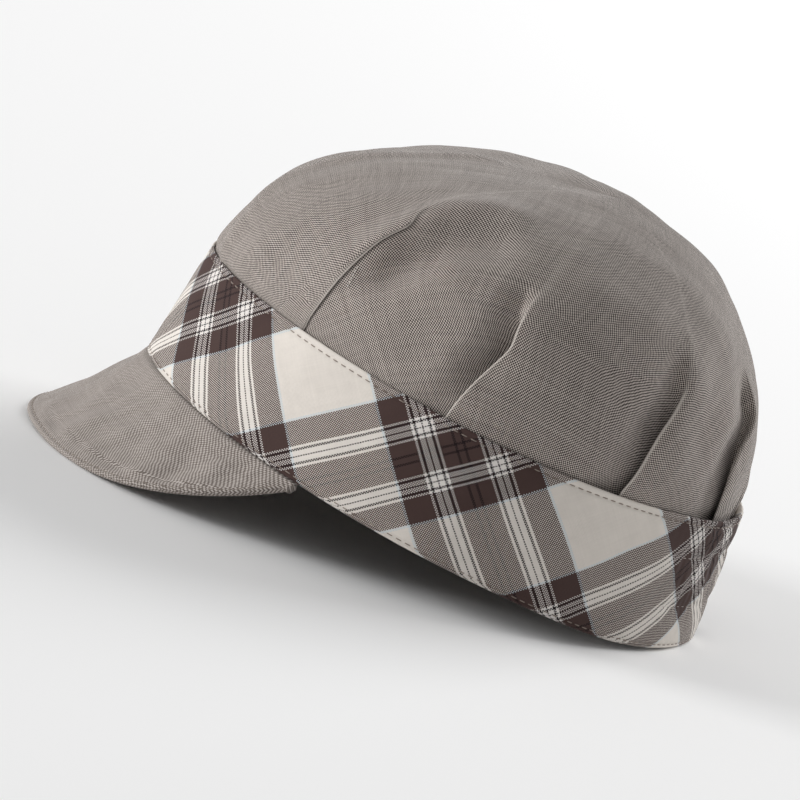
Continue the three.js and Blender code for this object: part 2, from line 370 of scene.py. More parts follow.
@dataclass(frozen=True)
class ClothGrid:
    """A grid of points in metres with its flat cloth places, which becomes one mesh.

    Columns run round the cap to the left as seen from above, rows run up its outer face.
    """

    points: Array
    cloth: Array
    closed_columns: bool = True
    closed_rows: bool = True
    pole: Array | None = None
    # Share of wear and painted highlight on the fold edges at each point, if any
    wear_and_highlight: Array | None = None

    def end_faces(self) -> Faces:
        """Closes the first and the last column of an open tube.

        Returns:
            The faces, four-sided across the section.
        """
        columns, rows = self.points.shape[:2]
        rings = [(k, k + 1, rows - 2 - k, rows - 1 - k) for k in range(rows // 2 - 1)]
        if rows % 2:
            rings.append((rows // 2 - 1, rows // 2, rows // 2 + 1))
        last = (columns - 1) * rows
        return rings + [tuple(last + i for i in reversed(ring)) for ring in rings]

    def build(self, name: str, material: Material) -> Piece:
        """Makes the mesh object.

        Args:
            name: name of the piece.
            material: its material.

        Returns:
            The new object, with its cloth places in metres in its UV map.
        """
        columns, rows = self.points.shape[:2]
        across = columns if self.closed_columns else columns - 1
        up = rows if self.closed_rows else rows - 1
        i, k = (grid[..., None] for grid in np.indices((across, up)))
        i = np.concatenate([i, i + 1, i + 1, i], axis=-1)
        k = np.concatenate([k, k, k + 1, k + 1], axis=-1)
        faces: Faces = (i % columns * rows + k % rows).reshape(-1, 4).tolist()
        places = list(self.cloth[i, k].reshape(-1, 2))
        vertices = self.points.reshape(-1, 3)
        if self.pole is not None:
            vertices = np.concatenate([vertices, self.pole[None]])
            for i in range(across):
                last, next_last = i * rows + rows - 1, (i + 1) % columns * rows + rows - 1
                faces.append((last, next_last, columns * rows))
                places.extend([self.cloth[i, -1], self.cloth[i + 1, -1], np.zeros(2)])
        if self.closed_rows and not self.closed_columns:
            for face in self.end_faces():
                faces.append(face)
                places.extend(self.cloth[index // rows, index % rows] for index in face)
        piece = add_piece(name, vertices, faces, material)
        layer = piece.data.uv_layers.new(name="cloth")
        layer.data.foreach_set("uv", (np.array(places) * MM).ravel())
        # The fold edges' wear and painted highlight go to the cloth's shader as a point attribute
        if self.wear_and_highlight is not None:
            shares = np.zeros(len(vertices))
            shares[: self.wear_and_highlight.size] = self.wear_and_highlight.ravel()
            attribute = piece.data.attributes.new("wear_and_highlight", "FLOAT", "POINT")
            attribute.data.foreach_set("value", shares)
        return piece


def linear(colour: str) -> tuple[float, float, float, float]:
    """Turns an sRGB hex colour such as "#857a70" to linear.

    Args:
        colour: the sRGB colour.

    Returns:
        Red, green, blue and alpha, 0 to 1.
    """
    parts = [int(colour[i : i + 2], 16) / 255.0 for i in (1, 3, 5)]
    channels = [p / 12.92 if p <= 0.04045 else ((p + 0.055) / 1.055) ** 2.4 for p in parts]
    return (channels[0], channels[1], channels[2], 1.0)


def fill_inputs(tree: Tree, node: bpy.types.Node, inputs: dict[Any, Any]) -> None:
    """Sets or links a node's inputs.

    Args:
        tree: the node tree.
        node: the node.
        inputs: for each input, by name or number, a value or the output to link to it.
    """
    for socket, value in inputs.items():
        if isinstance(value, Socket):
            tree.links.new(value, node.inputs[socket])
        else:
            node.inputs[socket].default_value = value


def add_node(
    tree: Tree, kind: str, inputs: dict[Any, Any], output: str | int = 0, **settings: Any
) -> Socket:
    """Adds one shader node to a tree.

    Args:
        tree: the material's node tree.
        kind: the node's type name without its beginning, which all shader nodes share.
        inputs: for each input, by name or number, a value or the output to link to it.
        output: the wanted output, by name or number.
        settings: the node's own settings.

    Returns:
        That output.
    """
    node = tree.nodes.new("ShaderNode" + kind)
    for name, value in settings.items():
        setattr(node, name, value)
    fill_inputs(tree, node, inputs)
    return node.outputs[output]


def new_material(name: str) -> tuple[Material, Tree, bpy.types.Node]:
    """Makes a material.

    Args:
        name: the material's name.

    Returns:
        The material, its node tree and its surface shader.
    """
    material = bpy.data.materials.new(name)
    material.use_nodes = True
    return material, material.node_tree, material.node_tree.nodes["Principled BSDF"]


@dataclass(frozen=True)
class Weave:
    """Plain weave over a material, with places on the cloth counted in yarns."""

    tree: Tree
    # Flat place on the cloth in metres
    place: Socket
    warp: Socket
    weft: Socket
    # Which yarn lies on top, up to 1 or down to -1, and 0 in the gaps between yarns
    cross: Socket

    @classmethod
    def over(cls, tree: Tree, spacing: float, wander: float = 0.0, run: float = 5.0) -> "Weave":
        """Lays the weave.

        Args:
            tree: the material's node tree.
            spacing: distance between yarns in millimetres.
            wander: how far yarns stray from straight, in yarns.
            run: length over which they stray, in millimetres.

        Returns:
            The weave.
        """
        place = add_node(tree, "UVMap", {}, uv_map="cloth")
        scale = (1000.0 / spacing, 1000.0 / spacing, 1.0)
        straight = add_node(tree, "Mapping", {"Vector": place, "Scale": scale})
        noise = {"Vector": place, "Scale": 1000.0 / run, "Detail": 0.0}
        stray = add_node(tree, "TexNoise", noise, "Color")
        reach = (2.0 * wander, 2.0 * wander, 0.0)
        strayed = {0: stray, 1: reach, 2: straight}
        yarns = add_node(tree, "VectorMath", strayed, operation="MULTIPLY_ADD")
        warp, weft = add_node(tree, "SeparateXYZ", {0: yarns}).node.outputs[:2]
        waves = []
        for way in (warp, weft):
            half_turns = add_node(tree, "Math", {0: way, 1: math.pi}, operation="MULTIPLY")
            waves.append(add_node(tree, "Math", {0: half_turns}, operation="SINE"))
        cross = add_node(tree, "Math", {0: waves[0], 1: waves[1]}, operation="MULTIPLY")
        return cls(tree, place, warp, weft, cross)

    def number(self, way: Socket) -> Socket:
        """Whole number of the yarn at a place."""
        return add_node(self.tree, "Math", {0: way}, operation="FLOOR")

    def slubs(self, seeds: Pair, runs: Pair) -> Socket:
        """Slow change of tone along each yarn, different from yarn to yarn.

        Args:
            seeds: keep the warp and the weft apart.
            runs: number of yarns over which a yarn's tone holds, for warp and weft.

        Returns:
            The sum for the two yarns at a place, a value round 1.
        """
        tree = self.tree
        tones = []
        ways = ((self.warp, self.weft), (self.weft, self.warp))
        for (way, other), seed, run in zip(ways, seeds, runs):
            # Neighbouring yarns lie so far apart in the noise that their tones don't follow on
            across = add_node(tree, "Math", {0: self.number(way), 1: 7.31}, operation="MULTIPLY")
            along = add_node(tree, "Math", {0: other, 1: run}, operation="DIVIDE")
            place = add_node(tree, "CombineXYZ", {0: across, 1: along, 2: seed})
            noise = {"Vector": place, "Scale": 1.0, "Detail": 1.0}
            tones.append(add_node(tree, "TexNoise", noise, "Fac"))
        return add_node(tree, "Math", {0: tones[0], 1: tones[1]}, operation="ADD")

    def relief(self, strength: float, depth: float) -> Socket:
        """Relief of the round yarns.

        Args:
            strength: how much of it shows, 0 to 1.
            depth: depth between yarns in millimetres.

        Returns:
            The surface direction.
        """
        height = add_node(self.tree, "Math", {0: self.cross, 1: self.cross}, operation="MULTIPLY")
        bump = {"Height": height, "Strength": strength, "Distance": depth * MM}
        return add_node(self.tree, "Bump", bump)


@dataclass(frozen=True)
class ChambrayFinish:
    """Yarn-dyed cotton chambray in plain weave: a dark warp and a pale weft.

    The eye sees a soft grey-brown made of light and dark points, with faint streaks where a
    yarn is thicker or paler, a thin pale line along the folds' edges, which is wear and a painted
    highlight where they catch the light, and a matte surface that lights up a little at grazing
    angles.
    """

    name: str
    warp_colour: str = "#29201e"
    weft_colour: str = "#cac0b8"
    # Colour of the fold edges: wear, and a painted highlight where they catch the light
    wear_and_highlight_colour: str = "#d6cec6"
    # Real yarns lie about 0.4 mm apart and are drawn a little wider, to show at this size
    yarn_spacing: float = 0.49
    # How sharply warp and weft points part, and the weft's share of the face
    contrast: float = 2.2
    weft_share: float = 0.29
    relief: float = 0.3
    yarn_depth: float = 0.2
    # Real yarns wander and swell a little, in yarns and over this many millimetres
    wander: float = 0.6
    wander_run: float = 4.5
    slubs: float = 0.75

    def material(self) -> Material:
        """Builds the cloth's material.

        Returns:
            The material.
        """
        material, tree, shader = new_material(self.name)
        weave = Weave.over(tree, self.yarn_spacing, self.wander, self.wander_run)
        points = {0: weave.cross, 1: self.contrast, 2: self.weft_share}
        points = add_node(tree, "Math", points, operation="MULTIPLY_ADD")
        base = add_node(tree, "Math", {0: points, 1: self.slubs}, operation="SUBTRACT")
        slubs = {0: weave.slubs((3.0, 11.0), (70.0, 50.0)), 1: self.slubs, 2: base}
        tone = add_node(tree, "Math", slubs, operation="MULTIPLY_ADD")
        colours = {"Factor": tone, "A": linear(self.warp_colour), "B": linear(self.weft_colour)}
        colour = add_node(tree, "Mix", colours, "Result", data_type="RGBA")
        # Fold edges turn pale: wear, and a painted highlight where the edges catch the light
        wear_and_highlight = add_node(tree, "Attribute", {}, "Fac", attribute_name="wear_and_highlight")
        colours = {"Factor": wear_and_highlight, "A": colour, "B": linear(self.wear_and_highlight_colour)}
        surface = {
            "Base Color": add_node(tree, "Mix", colours, "Result", data_type="RGBA"),
            "Normal": weave.relief(self.relief, self.yarn_depth),
            "Roughness": 0.88,
            "IOR": 1.5,
            "Specular IOR Level": 0.2,
            "Sheen Weight": 0.12,
            "Sheen Roughness": 0.5,
        }
        fill_inputs(tree, shader, surface)
        return material


@dataclass(frozen=True)
class CheckFinish:
    """Yarn-dyed cotton check in plain weave: dark brown, cream and white yarns.

    Where yarns of one colour cross, the cloth is solid; where brown crosses cream it is a fine
    grain of both; a single dark yarn breaks up into dots over white. It is matte.
    """

    name: str = "check plain weave"
    cream: str = "#d7d0c8"
    white: str = "#d9d4d0"
    edge: str = "#c3cacd"
    brown: str = "#463633"
    line: str = "#1f1517"
    yarn_spacing: float = 0.421
    # Dark yarns are thicker and hide a little more of the pale ones, 0 for half and half
    dark_cover: float = 0.23
    cloud_size: float = 5.0
    # How much the tone changes from yarn to yarn and over the clouds
    slubs: float = 0.08
    clouds: float = 0.14
    relief: float = 0.5
    yarn_depth: float = 0.1

    def stripes(self) -> list[tuple[str, int]]:
        """Lists the stripes from the cream one's middle to the brown one's.

        Returns:
            Colour and number of yarns of each.
        """
        white, line, brown = self.white, self.line, self.brown
        thin = [(white, 2), (line, 2), (white, 4), (line, 1), (white, 4), (line, 2), (white, 2)]
        middle = [(brown, 10), (line, 2), (brown, 2)]
        return [(self.cream, 35), (self.edge, 2), (brown, 20), *thin, *middle]

    def stripe_colour(self, tree: Tree, number: Socket) -> Socket:
        """Colour of a yarn by its number.

        Args:
            tree: the material's node tree.
            number: the yarn's whole number, 0 for the first yarn of a cream stripe.

        Returns:
            The colour output.
        """
        stripes = self.stripes()
        half = sum(yarns for _, yarns in stripes)
        cream_middle = stripes[0][1] + stripes[1][1]
        repeat = 2.0 * half
        turns = {0: number, 1: 1.0 / repeat, 2: 0.5 + (0.5 - cream_middle) / repeat}
        turns = add_node(tree, "Math", turns, operation="MULTIPLY_ADD")
        turn = add_node(tree, "Math", {0: turns}, operation="FRACT")
        away = add_node(tree, "Math", {0: turn, 1: 0.5}, operation="SUBTRACT")
        away = add_node(tree, "Math", {0: away}, operation="ABSOLUTE")
        away = add_node(tree, "Math", {0: away, 1: 2.0}, operation="MULTIPLY")
        colour = add_node(tree, "ValToRGB", {"Fac": away})
        stops = colour.node.color_ramp
        stops.interpolation = "CONSTANT"
        stops.elements.remove(stops.elements[1])
        start = 0
        for shade, yarns in stripes:
            stop = stops.elements[0] if start == 0 else stops.elements.new(start / half)
            stop.color = linear(shade)
            start += yarns
        return colour

    def material(self) -> Material:
        """Builds the cloth's material.

        Returns:
            The material.
        """
        material, tree, shader = new_material(self.name)
        weave = Weave.over(tree, self.yarn_spacing)
        numbers = [weave.number(way) for way in (weave.warp, weave.weft)]
        warp, weft = (self.stripe_colour(tree, number) for number in numbers)
        tones = [add_node(tree, "RGBToBW", {0: colour}) for colour in (warp, weft)]
        paler = add_node(tree, "Math", {0: tones[0], 1: tones[1]}, operation="SUBTRACT")
        side = add_node(tree, "Math", {0: paler}, operation="SIGN")
        cover = add_node(tree, "Math", {0: side, 1: self.dark_cover}, operation="MULTIPLY")
        on_top = add_node(tree, "Math", {0: weave.cross, 1: cover}, operation="GREATER_THAN")
        colours = {"Factor": on_top, "A": weft, "B": warp}
        colour = add_node(tree, "Mix", colours, "Result", data_type="RGBA")
        clouds = {"Vector": weave.place, "Scale": 1000.0 / self.cloud_size, "Detail": 3.0}
        clouds = add_node(tree, "TexNoise", clouds, "Fac")
        # Both noises lie round their middles, so the cloth keeps its mean tone
        least = 1.0 - self.slubs - self.clouds / 2.0
        slubs = {0: weave.slubs((5.0, 9.0), (60.0, 60.0)), 1: self.slubs, 2: least}
        slubs = add_node(tree, "Math", slubs, operation="MULTIPLY_ADD")
        tone = {0: clouds, 1: self.clouds, 2: slubs}
        tone = add_node(tree, "Math", tone, operation="MULTIPLY_ADD")
        toned = {0: colour, "Scale": tone}
        surface = {
            "Base Color": add_node(tree, "VectorMath", toned, operation="SCALE"),
            "Normal": weave.relief(self.relief, self.yarn_depth),
            "Roughness": 0.85,
            "IOR": 1.5,
            "Specular IOR Level": 0.15,
            "Sheen Weight": 0.05,
            "Sheen Roughness": 0.5,
        }
        fill_inputs(tree, shader, surface)
        return material


@dataclass(frozen=True)
class ThreadFinish:
    """Spun polyester sewing thread: a smooth, slightly shiny twist of two plies."""

    name: str
    colour: str
    # How many uneven spots the fibres make in a metre
    fibres: float = 2500.0

    def material(self) -> Material:
        """Builds the thread's material, mottled and rough as its fibres are.

        Returns:
            The material.
        """
        material, tree, shader = new_material(self.name)
        place = add_node(tree, "TexCoord", {}, "Object")
        noise = {"Vector": place, "Scale": self.fibres, "Detail": 2.0}
        fibres = add_node(tree, "TexNoise", noise, "Fac")
        base = linear(self.colour)[:3]
        dark = (*(c * 0.7 for c in base), 1.0)
        pale = (*(min(c * 1.25, 1.0) for c in base), 1.0)
        colours = {"Factor": fibres, "A": dark, "B": pale}
        bump = {"Height": fibres, "Strength": 0.3, "Distance": 0.1 * MM}
        surface = {
            "Base Color": add_node(tree, "Mix", colours, "Result", data_type="RGBA"),
            "Normal": add_node(tree, "Bump", bump),
            "Roughness": 0.6,
            "IOR": 1.5,
            "Sheen Weight": 0.1,
        }
        fill_inputs(tree, shader, surface)
        return material


@dataclass
class Stitching:
    """Rows of running stitches, gathered into one piece."""

    name: str
    finish: ThreadFinish
    slot: str
    period: float = 3.1
    stitch: float = 2.4
    radius: float = 0.17
    # How far a stitch's middle stands out of the cloth, and how deep its ends go in
    lift: float = 0.1
    sink: float = 0.28
    sides: int = 6
    rings: int = 5
    vertices: list[Array] = field(default_factory=list)
    faces: Faces = field(default_factory=list)

    def sew(self, line: Array, normals: Array, start: float = 0.0) -> None:
        """Sews one row along a line on the cloth.

        Args:
            line: closely spaced points in the cap's own frame.
            normals: the cloth's outward normals at those points.
            start: distance along the line of the first stitch.
        """
        run = lengths_along(line)
        count = int((run[-1] - start - self.stitch) // self.period) + 1
        share = np.linspace(0.0, 1.0, self.rings)
        height = self.lift - (self.lift + self.sink) * np.abs(2.0 * share - 1.0) ** 4
        turn = np.arange(self.sides) * 2.0 * math.pi / self.sides
        for number in range(count):
            places = start + number * self.period + share * self.stitch
            centre = sample(places, run, line)
            normal = unit(sample(places, run, normals))
            side = unit(np.cross(unit(np.gradient(centre, axis=0)), normal))
            centre = centre + normal * height[:, None]
            ring = centre[:, None] + self.radius * np.cos(turn)[None, :, None] * side[:, None]
            self.add_tube(ring + self.radius * np.sin(turn)[None, :, None] * normal[:, None])

    def add_tube(self, ring: Array) -> None:
        """Adds one stitch, given its rings of points.

        Args:
            ring: the stitch's points, rings by sides.
        """
        first = sum(len(v) for v in self.vertices)
        here = first + np.arange(self.rings * self.sides).reshape(self.rings, self.sides)
        beside = np.roll(here, -1, axis=1)
        walls = np.stack([here[:-1], here[1:], beside[1:], beside[:-1]], axis=-1)
        self.vertices.append(ring.reshape(-1, 3))
        self.faces += walls.reshape(-1, 4).tolist()
        self.faces += [here[0].tolist(), here[-1, ::-1].tolist()]

    def build(self, form: CapForm) -> None:
        """Makes the piece of all rows sewn so far.

        Args:
            form: the cap's form, which knows where the cap rests.
        """
        points = form.rest(np.concatenate(self.vertices))
        piece = add_piece(self.name, points, self.faces, self.finish.material())
        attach(piece, BODY)
        LOG.info("%s: %d faces", self.name, len(self.faces))


@dataclass
class Band:
    """Check band: one bias-cut strip, doubled, topstitched, and drawn in by elastic at the back."""

    form: CapForm
    wall: float = 1.6
    # The wall thins towards the top edge, where no interlining lies between the two cloths
    top_wall: float = 1.0
    top_wall_ease: Pair = (1.0, 6.0)
    column_spacing: float = 1.15
    gather_column_spacing: float = 0.5
    elastic_start: float = 133.0
    elastic_ease: float = 16.0
    elastic_seam: float = 141.0
    # How far the gathered cloth stands out all over, at the top edge, and between stitch rows
    gathered_out: float = 0.6
    gathered_flare: float = 0.6
    flare_ease: Pair = (30.0, 9.0)
    swell: float = 0.35
    # Rows of stitching, as distances from the bottom edge or down from the top edge
    bottom_stitch: float = 1.5
    top_stitch: float = 2.1
    elastic_rows: Pair = (14.2, 30.7)
    # Depth and reach of the grooves that stitches pull, and what of it comes and goes with them
    groove: float = 0.4
    groove_reach: float = 0.55
    elastic_groove: float = 0.3
    elastic_groove_reach: float = 0.9
    pucker: float = 0.15
    # Flat cloth taken up for each millimetre of stretched arc at the bottom and top edges
    fullness_bottom: float = 1.15
    fullness_top: float = 1.45
    # The check's thread directions across the strip: how each grows along it and up it
    first_thread: Pair = (0.688, 0.676)
    second_thread: Pair = (-0.7325, 0.848)
    check_corner: Pair = (76.2, 13.15)
    # How far the bias cloth is pulled along, by distance round the band, at its two edges
    drift_bottom: Table = (
        (0, -4.6), (23, -2.9), (45, -3.4), (66, -2.7), (86, -1.8), (105, -1.8),
        (127, 0.6), (150, 0.4), (163, 0), (194, 0), (210, -2.6), (225, -4.2),
        (236, -5.7), (285, -12),
    )
    drift_top: Table = (
        (0, -6.2), (17, -5.2), (29, -4), (43, -3), (50, -1.2), (57, 0.2),
        (100, 0.2), (117, 0.7), (143, 1.3), (161, 2), (182, -1.2), (208, -4.8),
        (217, -5.5), (226, -4.9), (237, -6), (250, -9.5), (285, -18),
    )
    drift_blur: tuple[float, ...] = (-6.0, -3.0, 0.0, 3.0, 6.0)
    # The cloth is also pulled up towards the front, from this place on
    front_pull_from: float = 57.0
    front_pull: float = 0.055
    # Gathers over the elastic: wave length in flat cloth, depth, and drift up the band
    gathers: tuple[Triple, ...] = ((8.7, 0.24, 0.9), (5.6, 0.2, -1.3), (3.7, 0.14, 2.1))
    gather_drift_over: float = 9.0
    # Slow sway of the gathers: how far, over how many waves, and how much the three differ
    gather_sway: Triple = (0.9, 3.3, 2.0)
    # They are weak at the bottom edge and grow from this height, over this much
    gather_least: float = 0.1
    gather_ease: Pair = (4.0, 14.0)
    hang: Unevenness = Unevenness(seed=7, shortest=16.0, longest=60.0, height=0.22)
    edge_ease: float = 6.0

    def middle(self, angle: Array) -> Array:
        """Point of the band's smooth outer face halfway up."""
        return self.form.band(angle, self.form.band_height(angle) / 2.0, 0.0)

    def angles(self) -> Array:
        """Spreads the columns, closer together where the band is gathered.

        Returns:
            Their angles, from the back seam round the front to the back seam.
        """
        dense = np.linspace(-180.0, 180.0, 7201)
        gathered = np.abs(dense) > self.elastic_start - 6.0
        gap = np.where(gathered, self.gather_column_spacing, self.column_spacing)
        steps = np.diff(lengths_along(self.middle(dense))) / gap[1:]
        share = np.concatenate([[0.0], np.cumsum(steps)])
        count = int(round(share[-1]))
        return np.interp(np.linspace(0.0, share[-1], count + 1), share, dense)

    def pull(self, angle: Array) -> Array:
        """How strongly the elastic draws the cloth in at an angle, 0 to 1."""
        return ramp(np.abs(wrap(angle)), self.elastic_start, self.elastic_ease)

    def arc(self, angle: Array) -> Array:
        """Distance round the band at mid height.

        Args:
            angle: degrees from the front, -180 to 180.

        Returns:
            Millimetres from the front centre, signed.
        """
        dense = np.linspace(0.0, 180.0, 3601)
        run = lengths_along(self.middle(dense))
        return np.sign(angle) * np.interp(np.abs(angle), dense, run)

    def flat_length(self, angle: Array, share: Array) -> Array:
        """Place along the flat strip, counting the cloth taken up in gathers.

        Args:
            angle: degrees from the front, -180 to 180.
            share: share of the band's height.

        Returns:
            Millimetres from the front centre, signed.
        """
        dense = np.linspace(0.0, 180.0, 1801)
        steps = np.diff(self.arc(dense)) * self.pull(dense)[1:]
        extra = np.interp(np.abs(angle), dense, np.concatenate([[0.0], np.cumsum(steps)]))
        fullness = self.fullness_bottom + (self.fullness_top - self.fullness_bottom) * share
        return self.arc(angle) + np.sign(angle) * extra * (fullness - 1.0)

    def drift(self, arc: Array, share: Array) -> Array:
        """Args:
            arc: distance round the band from the front, signed.
            share: share of the band's height.

        Returns:
            The pull in millimetres, below 0 where it is towards the back.
        """
        edges = []
        for table in (self.drift_bottom, self.drift_top):
            places, pulls = np.array(table).T
            near = [np.interp(np.abs(arc) + offset, places, pulls) for offset in self.drift_blur]
            edges.append(sum(near) / len(near))
        return edges[0] + (edges[1] - edges[0]) * share

    def gather(self, flat: Array, height: Array) -> Array:
        """Depth of the gathers at full strength.

        Args:
            flat: place along the flat strip.
            height: distance up from the bottom edge.

        Returns:
            The depth in millimetres, 0 at the crests.
        """
        sway, waves, differ = self.gather_sway
        total = np.zeros(np.broadcast(flat, height).shape)
        for i, (wave, depth, drift) in enumerate(self.gathers):
            bend = sway * np.sin(flat / (wave * waves) + i * differ)
            phase = 2.0 * math.pi * flat / wave + drift * height / self.gather_drift_over + bend
            total = total + depth * (1.0 - np.cos(phase)) / 2.0
        return total

    def outer_inset(self, angle: Array, height: Array) -> Array:
        """How far the outer face lies inside the smooth form.

        Args:
            angle: degrees from the front.
            height: distance up from the bottom edge.

        Returns:
            The inset in millimetres, negative where the cloth stands proud.
        """
        full = self.form.band_height(angle)
        arc = self.arc(angle)
        low, high = self.elastic_rows
        edges = hump(height - self.bottom_stitch, self.groove_reach)
        edges = edges + hump(full - height - self.top_stitch, self.groove_reach)
        stitches = np.cos(2.0 * math.pi * arc / Stitching.period)
        inset = self.groove * edges * (1.0 - self.pucker + self.pucker * stitches)
        rows = sum(hump(height - row, self.elastic_groove_reach) for row in self.elastic_rows)
        lower_arch, upper_arch = (height - low) / (high - low), (height - high) / (full - high)
        above = np.where(height < high, arch(lower_arch), arch(upper_arch))
        swell = self.swell * np.where(height < low, arch(height / low) ** 2, above)
        flare = self.gathered_flare * ramp(height, *self.flare_ease)
        swell = swell + self.gathered_out + flare
        strength = self.gather_least + (1.0 - self.gather_least) * ramp(height, *self.gather_ease)
        folds = strength * self.gather(self.flat_length(angle, height / full), height)
        inset = inset + self.pull(angle) * (self.elastic_groove * rows - swell + folds)
        hang = self.hang.at(arc, height) * smooth(height / self.edge_ease)
        return inset - hang * smooth((full - height) / self.edge_ease)

    def wall_at(self, drop: Array | float) -> Array:
        """Thickness of the band's wall at a distance down from its top edge."""
        return self.top_wall + (self.wall - self.top_wall) * ramp(drop, *self.top_wall_ease)

    def profile(self, angle: Array) -> tuple[Array, Array, Array]:
        """Closed section of the band at each column.

        Args:
            angle: the columns' angles.

        Returns:
            Heights, insets and lengths along the cloth, each of columns by rows. The lengths
            run up the outer face and back down the inner one, so the check meets at the edges.
        """
        radius = self.wall / 2.0
        top_radius = self.top_wall / 2.0
        full = self.form.band_height(angle)[:, None]
        # Rows lie closest at the grooves of the topstitching
        low = np.array([0.8, 1.0, 1.2, 1.4, 1.6, 1.8, 2.1, 2.5, 3.2])
        high = np.array([3.6, 3.0, 2.6, 2.35, 2.1, 1.85, 1.6, 1.3, 1.05, 0.8, 0.6])
        middle = np.linspace(0.11, 0.88, 27)
        outer = np.concatenate([per_column(angle, low), full * middle, full - high], axis=1)
        turn = np.linspace(0.0, 180.0, 7)[1:-1]
        top = full - top_radius + top_radius * sine(turn)
        top_inset = per_column(angle, top_radius - top_radius * cosine(turn))
        drops = per_column(angle, np.array([0.9, 1.8, 2.8, 3.8, 4.8, 5.8, 7.2]))
        inner = np.concatenate([full - drops, full * np.linspace(0.76, 0.03, 9)], axis=1)
        bottom = per_column(angle, radius - radius * sine(turn))
        bottom_inset = per_column(angle, radius + radius * cosine(turn))
        heights = np.concatenate([outer, top, inner, bottom], axis=1)
        face = self.outer_inset(per_row(angle, heights.shape[1]), heights)
        last = outer.shape[1]
        faces = [face[:, :last], top_inset + face[:, last - 1 : last]]
        insets = np.concatenate([*faces, self.wall_at(full - inner), bottom_inset], axis=1)
        run = lengths_round(np.stack([heights, insets], axis=-1))
        # The check turns back at the middle of the rounded top edge
        return heights, insets, turned_back(run, last + len(turn) // 2) + radius * 0.5

    def build(self) -> None:
        seamed = self.angles()
        heights, insets, along = self.profile(seamed)
        columns = per_row(seamed, heights.shape[1])
        share = np.clip(along / self.form.band_height(columns), 0.0, 1.0)
        arc = self.arc(columns)
        up = along - self.front_pull * np.clip(self.front_pull_from - np.abs(arc), 0.0, None)
        up = up - self.check_corner[1]
        across = self.flat_length(columns, share) + self.drift(arc, share) - self.check_corner[0]
        threads = [a * across + b * up for a, b in (self.first_thread, self.second_thread)]
        cloth = np.stack(threads, axis=-1)
        cloth = np.concatenate([cloth, cloth[:, :1]], axis=1)
        points = self.form.rest(self.form.band(columns[:-1], heights[:-1], insets[:-1]))
        piece = ClothGrid(points, cloth).build("check_band", CheckFinish().material())
        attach(piece, BODY)
        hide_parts("band")
        flat_total = 2.0 * float(self.flat_length(np.array([180.0]), np.array([0.5]))[0])
        LOG.info("band: %d columns, flat strip %.0f mm long", len(points), flat_total)

    def stitch_line(self, angle: Array, height: Array, inside: bool) -> tuple[Array, Array]:
        """Line of a stitch row.

        Args:
            angle: the line's angles.
            height: its distances up from the bottom edge.
            inside: whether it runs on the inner face.

        Returns:
            Its points and the cloth's outward normals there.
        """
        normal = self.form.outward(angle)
        if inside:
            inset = self.wall_at(self.form.band_height(angle) - height)
            return self.form.band(angle, height, inset), -normal
        return self.form.band(angle, height, self.outer_inset(angle, height)), normal

    def sew(self) -> None:
        """Makes the topstitching along both edges and the two rows that hold the elastic."""
        taupe = Stitching("band_topstitching", ThreadFinish("taupe thread", "#887b71"), "check")
        pale_thread = ThreadFinish("pale thread", "#b8ada6")
        pale = Stitching("elastic_stitching", pale_thread, "check", radius=0.11, lift=0.05)
        angle = np.linspace(-179.5, 179.5, 2400)
        back = np.linspace(self.elastic_seam, FULL_TURN - self.elastic_seam, 900)
        top_row = self.form.band_height(angle) - self.top_stitch
        for inside in (False, True):
            taupe.sew(*self.stitch_line(angle, top_row, inside))
            taupe.sew(*self.stitch_line(angle, np.full(angle.shape, self.bottom_stitch), inside))
            for row in self.elastic_rows:
                pale.sew(*self.stitch_line(back, np.full(back.shape, row), inside))
        taupe.build(self.form)
        pale.build(self.form)


class PanelOnTop(Enum):
    """Which of the two panels at a pleat lies on top of the other."""

    FRONT = 1
    REAR = -1


@dataclass(frozen=True)
class PleatStation:
    """One station of a pleat's section, from the top panel to the panel that it covers.

    Its place is side + fold x overlap + turn x layer + spread, and its depth is made of
    tight x layer, depth x drop, hollow x dip, and puff, which rises. All fade up the pleat.
    """

    side: float
    # Columns between the station before and this one, this one among them
    columns: int
    fold: float = 0.0
    turn: float = 0.0
    spread: float = 0.0
    tight: float = 0.0
    depth: float = 0.0
    puff: float = 0.0
    hollow: float = 0.0
    # Share of the pale fold edge here: wear and a painted highlight
    wear_and_highlight: float = 0.0


PLEAT_SECTION: tuple[PleatStation, ...] = (
    PleatStation(-16.0, 1),
    PleatStation(-8.0, 4, spread=-0.4, puff=0.75),
    PleatStation(-3.0, 4, spread=-0.7, puff=1.0),
    PleatStation(-0.9, 4, spread=-0.6, puff=1.0),
    PleatStation(-0.25, 3, turn=-0.5, spread=-0.4, puff=0.98, wear_and_highlight=0.15),
    PleatStation(0.0, 1, turn=-0.4, spread=-0.35, puff=0.95, wear_and_highlight=1.0),
    PleatStation(0.0, 2, spread=-0.2, tight=0.5, puff=0.7, wear_and_highlight=1.0),
    PleatStation(0.0, 2, turn=-0.5, spread=-0.1, tight=1.0, depth=0.15, puff=0.35, hollow=0.1),
    PleatStation(0.0, 4, fold=-1.0, turn=0.5, spread=0.1, tight=1.0, depth=0.5, hollow=0.5),
    PleatStation(0.0, 2, fold=-1.0, spread=0.3, tight=1.5, depth=0.8, hollow=0.8),
    PleatStation(0.0, 2, fold=-1.0, turn=0.5, spread=0.5, tight=2.0, depth=1.0, hollow=1.0),
    PleatStation(1.5, 5, spread=0.6, tight=2.0, depth=1.0, hollow=1.0),
    PleatStation(5.0, 4, spread=0.45, tight=1.95, depth=0.9, hollow=1.0),
    PleatStation(10.0, 4, spread=0.2, tight=1.6, depth=0.6, hollow=1.0),
    PleatStation(16.0, 4, tight=0.8, depth=0.25, hollow=1.0),
    PleatStation(24.0, 5, tight=0.1, hollow=1.0),
    PleatStation(32.0, 4),
)


